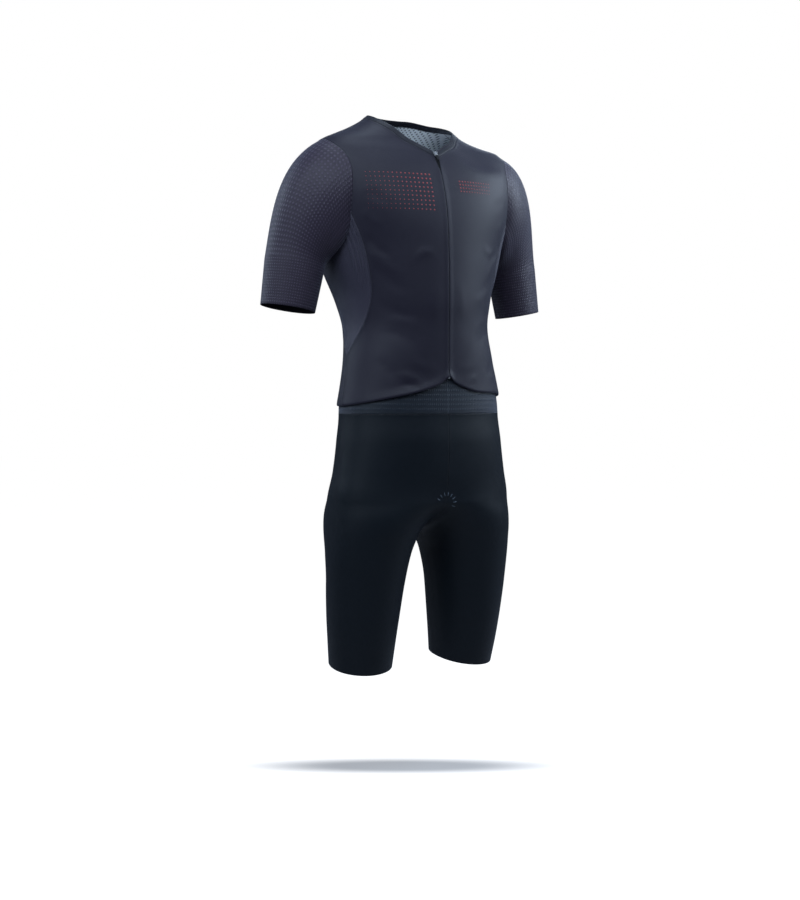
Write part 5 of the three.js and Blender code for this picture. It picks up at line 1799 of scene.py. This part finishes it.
# %% [markdown]
# The seat pad shows in front only as a small fan of raised tacks, and the chest carries a print. In place
# of lettering it is a plain field of red dots that fade away from the zip. Both are laid on single points
# by the second tree.

# %% The pad's tacks
PAD_MARK = {"centre": (0, -642), "radius": 17, "count": 8, "spread": (-62, 104),
            "length": 7.5, "width": 1.2, "height": 0.7}


def pad_marks():
    """Short raised tacks that fan out round the front end of the seat pad."""
    turns = np.radians(np.linspace(*PAD_MARK["spread"], PAD_MARK["count"]))
    x = PAD_MARK["centre"][0] + PAD_MARK["radius"] * np.sin(turns)
    z = PAD_MARK["centre"][1] + PAD_MARK["radius"] * np.cos(turns)
    y = root(middle_of_crotch(z), 0 * z - OUTSIDE, lambda front: shorts_distance(x, front, z))
    points = np.stack([x, y, z], -1)
    normals = shorts_normal(points)
    along = np.stack([np.sin(turns), 0 * turns, np.cos(turns)], -1)
    return points, normals, along


points, normals, along = pad_marks()
points, normals = on_cloth(points, normals, 0.1, settled)
guide = guide_mesh("pad_points", points, [], out=normals, along=along, size=np.ones(len(points)))
marks = laid("pad_tacks", guide, POINT_TREE, PALE_THREAD,
             Length=PAD_MARK["length"], Width=PAD_MARK["width"], Height=PAD_MARK["height"], Flat=0)
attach(marks, "suit")

# %% The print
PRINTS = {
    # The side that it is on, how far round from the centre front its first column lies, the height of
    # its top row, rows, columns, spacing, and the largest and smallest dot; lengths in mm
    "right": {"side": -1, "inner": 24, "top": -87, "rows": 9, "columns": 16, "pitch": 7.6,
              "large": 3.4, "small": 0.8},
    "left": {"side": 1, "inner": 34, "top": -95, "rows": 4, "columns": 12, "pitch": 5.8,
             "large": 3.1, "small": 1.5},
}
PRINT_THICK = 0.16


def print_points(spec):
    """A grid of places by their length over the cloth, with the dots' sizes fading outwards."""
    column = np.arange(spec["columns"])
    row = np.arange(spec["rows"])
    z = spec["top"] - row[:, None] * spec["pitch"] + 0 * column[None]
    reach = spec["inner"] + column[None] * spec["pitch"] + 0 * row[:, None]
    around = np.linspace(0, 80, 321)
    places = []
    for level, run in zip(z, reach):
        ring = on_trunk(around, np.full(around.shape, level[0]))
        length = np.concatenate([[0], np.cumsum(np.linalg.norm(np.diff(ring, axis=0), axis=1))])
        places.append(np.interp(run, length, around))
    around = np.array(places)
    points, normals = on_trunk(around, z), trunk_normal(around, z)
    share = mix(column[None] / max(1, column[-1]), row[:, None] / max(1, row[-1]), 0.3)
    size = mix(spec["large"], spec["small"], share)
    turn = np.array([spec["side"], 1.0, 1])
    return points.reshape(-1, 3) * turn, normals.reshape(-1, 3) * turn, size.ravel()


for side_name, spec in PRINTS.items():
    points, normals, size = print_points(spec)
    points, normals = on_cloth(points, normals, PRINT_THICK * 0.2)
    along = np.tile([1.0, 0, 0], (len(points), 1))
    guide = guide_mesh("print_points", points, [], out=normals, along=along, size=size * MM)
    dots = laid(f"print_{side_name}", guide, POINT_TREE, RED_PRINT,
                Length=1 / MM, Width=1 / MM, Height=PRINT_THICK / 2 / MM, Flat=1)
    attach(dots, "suit")
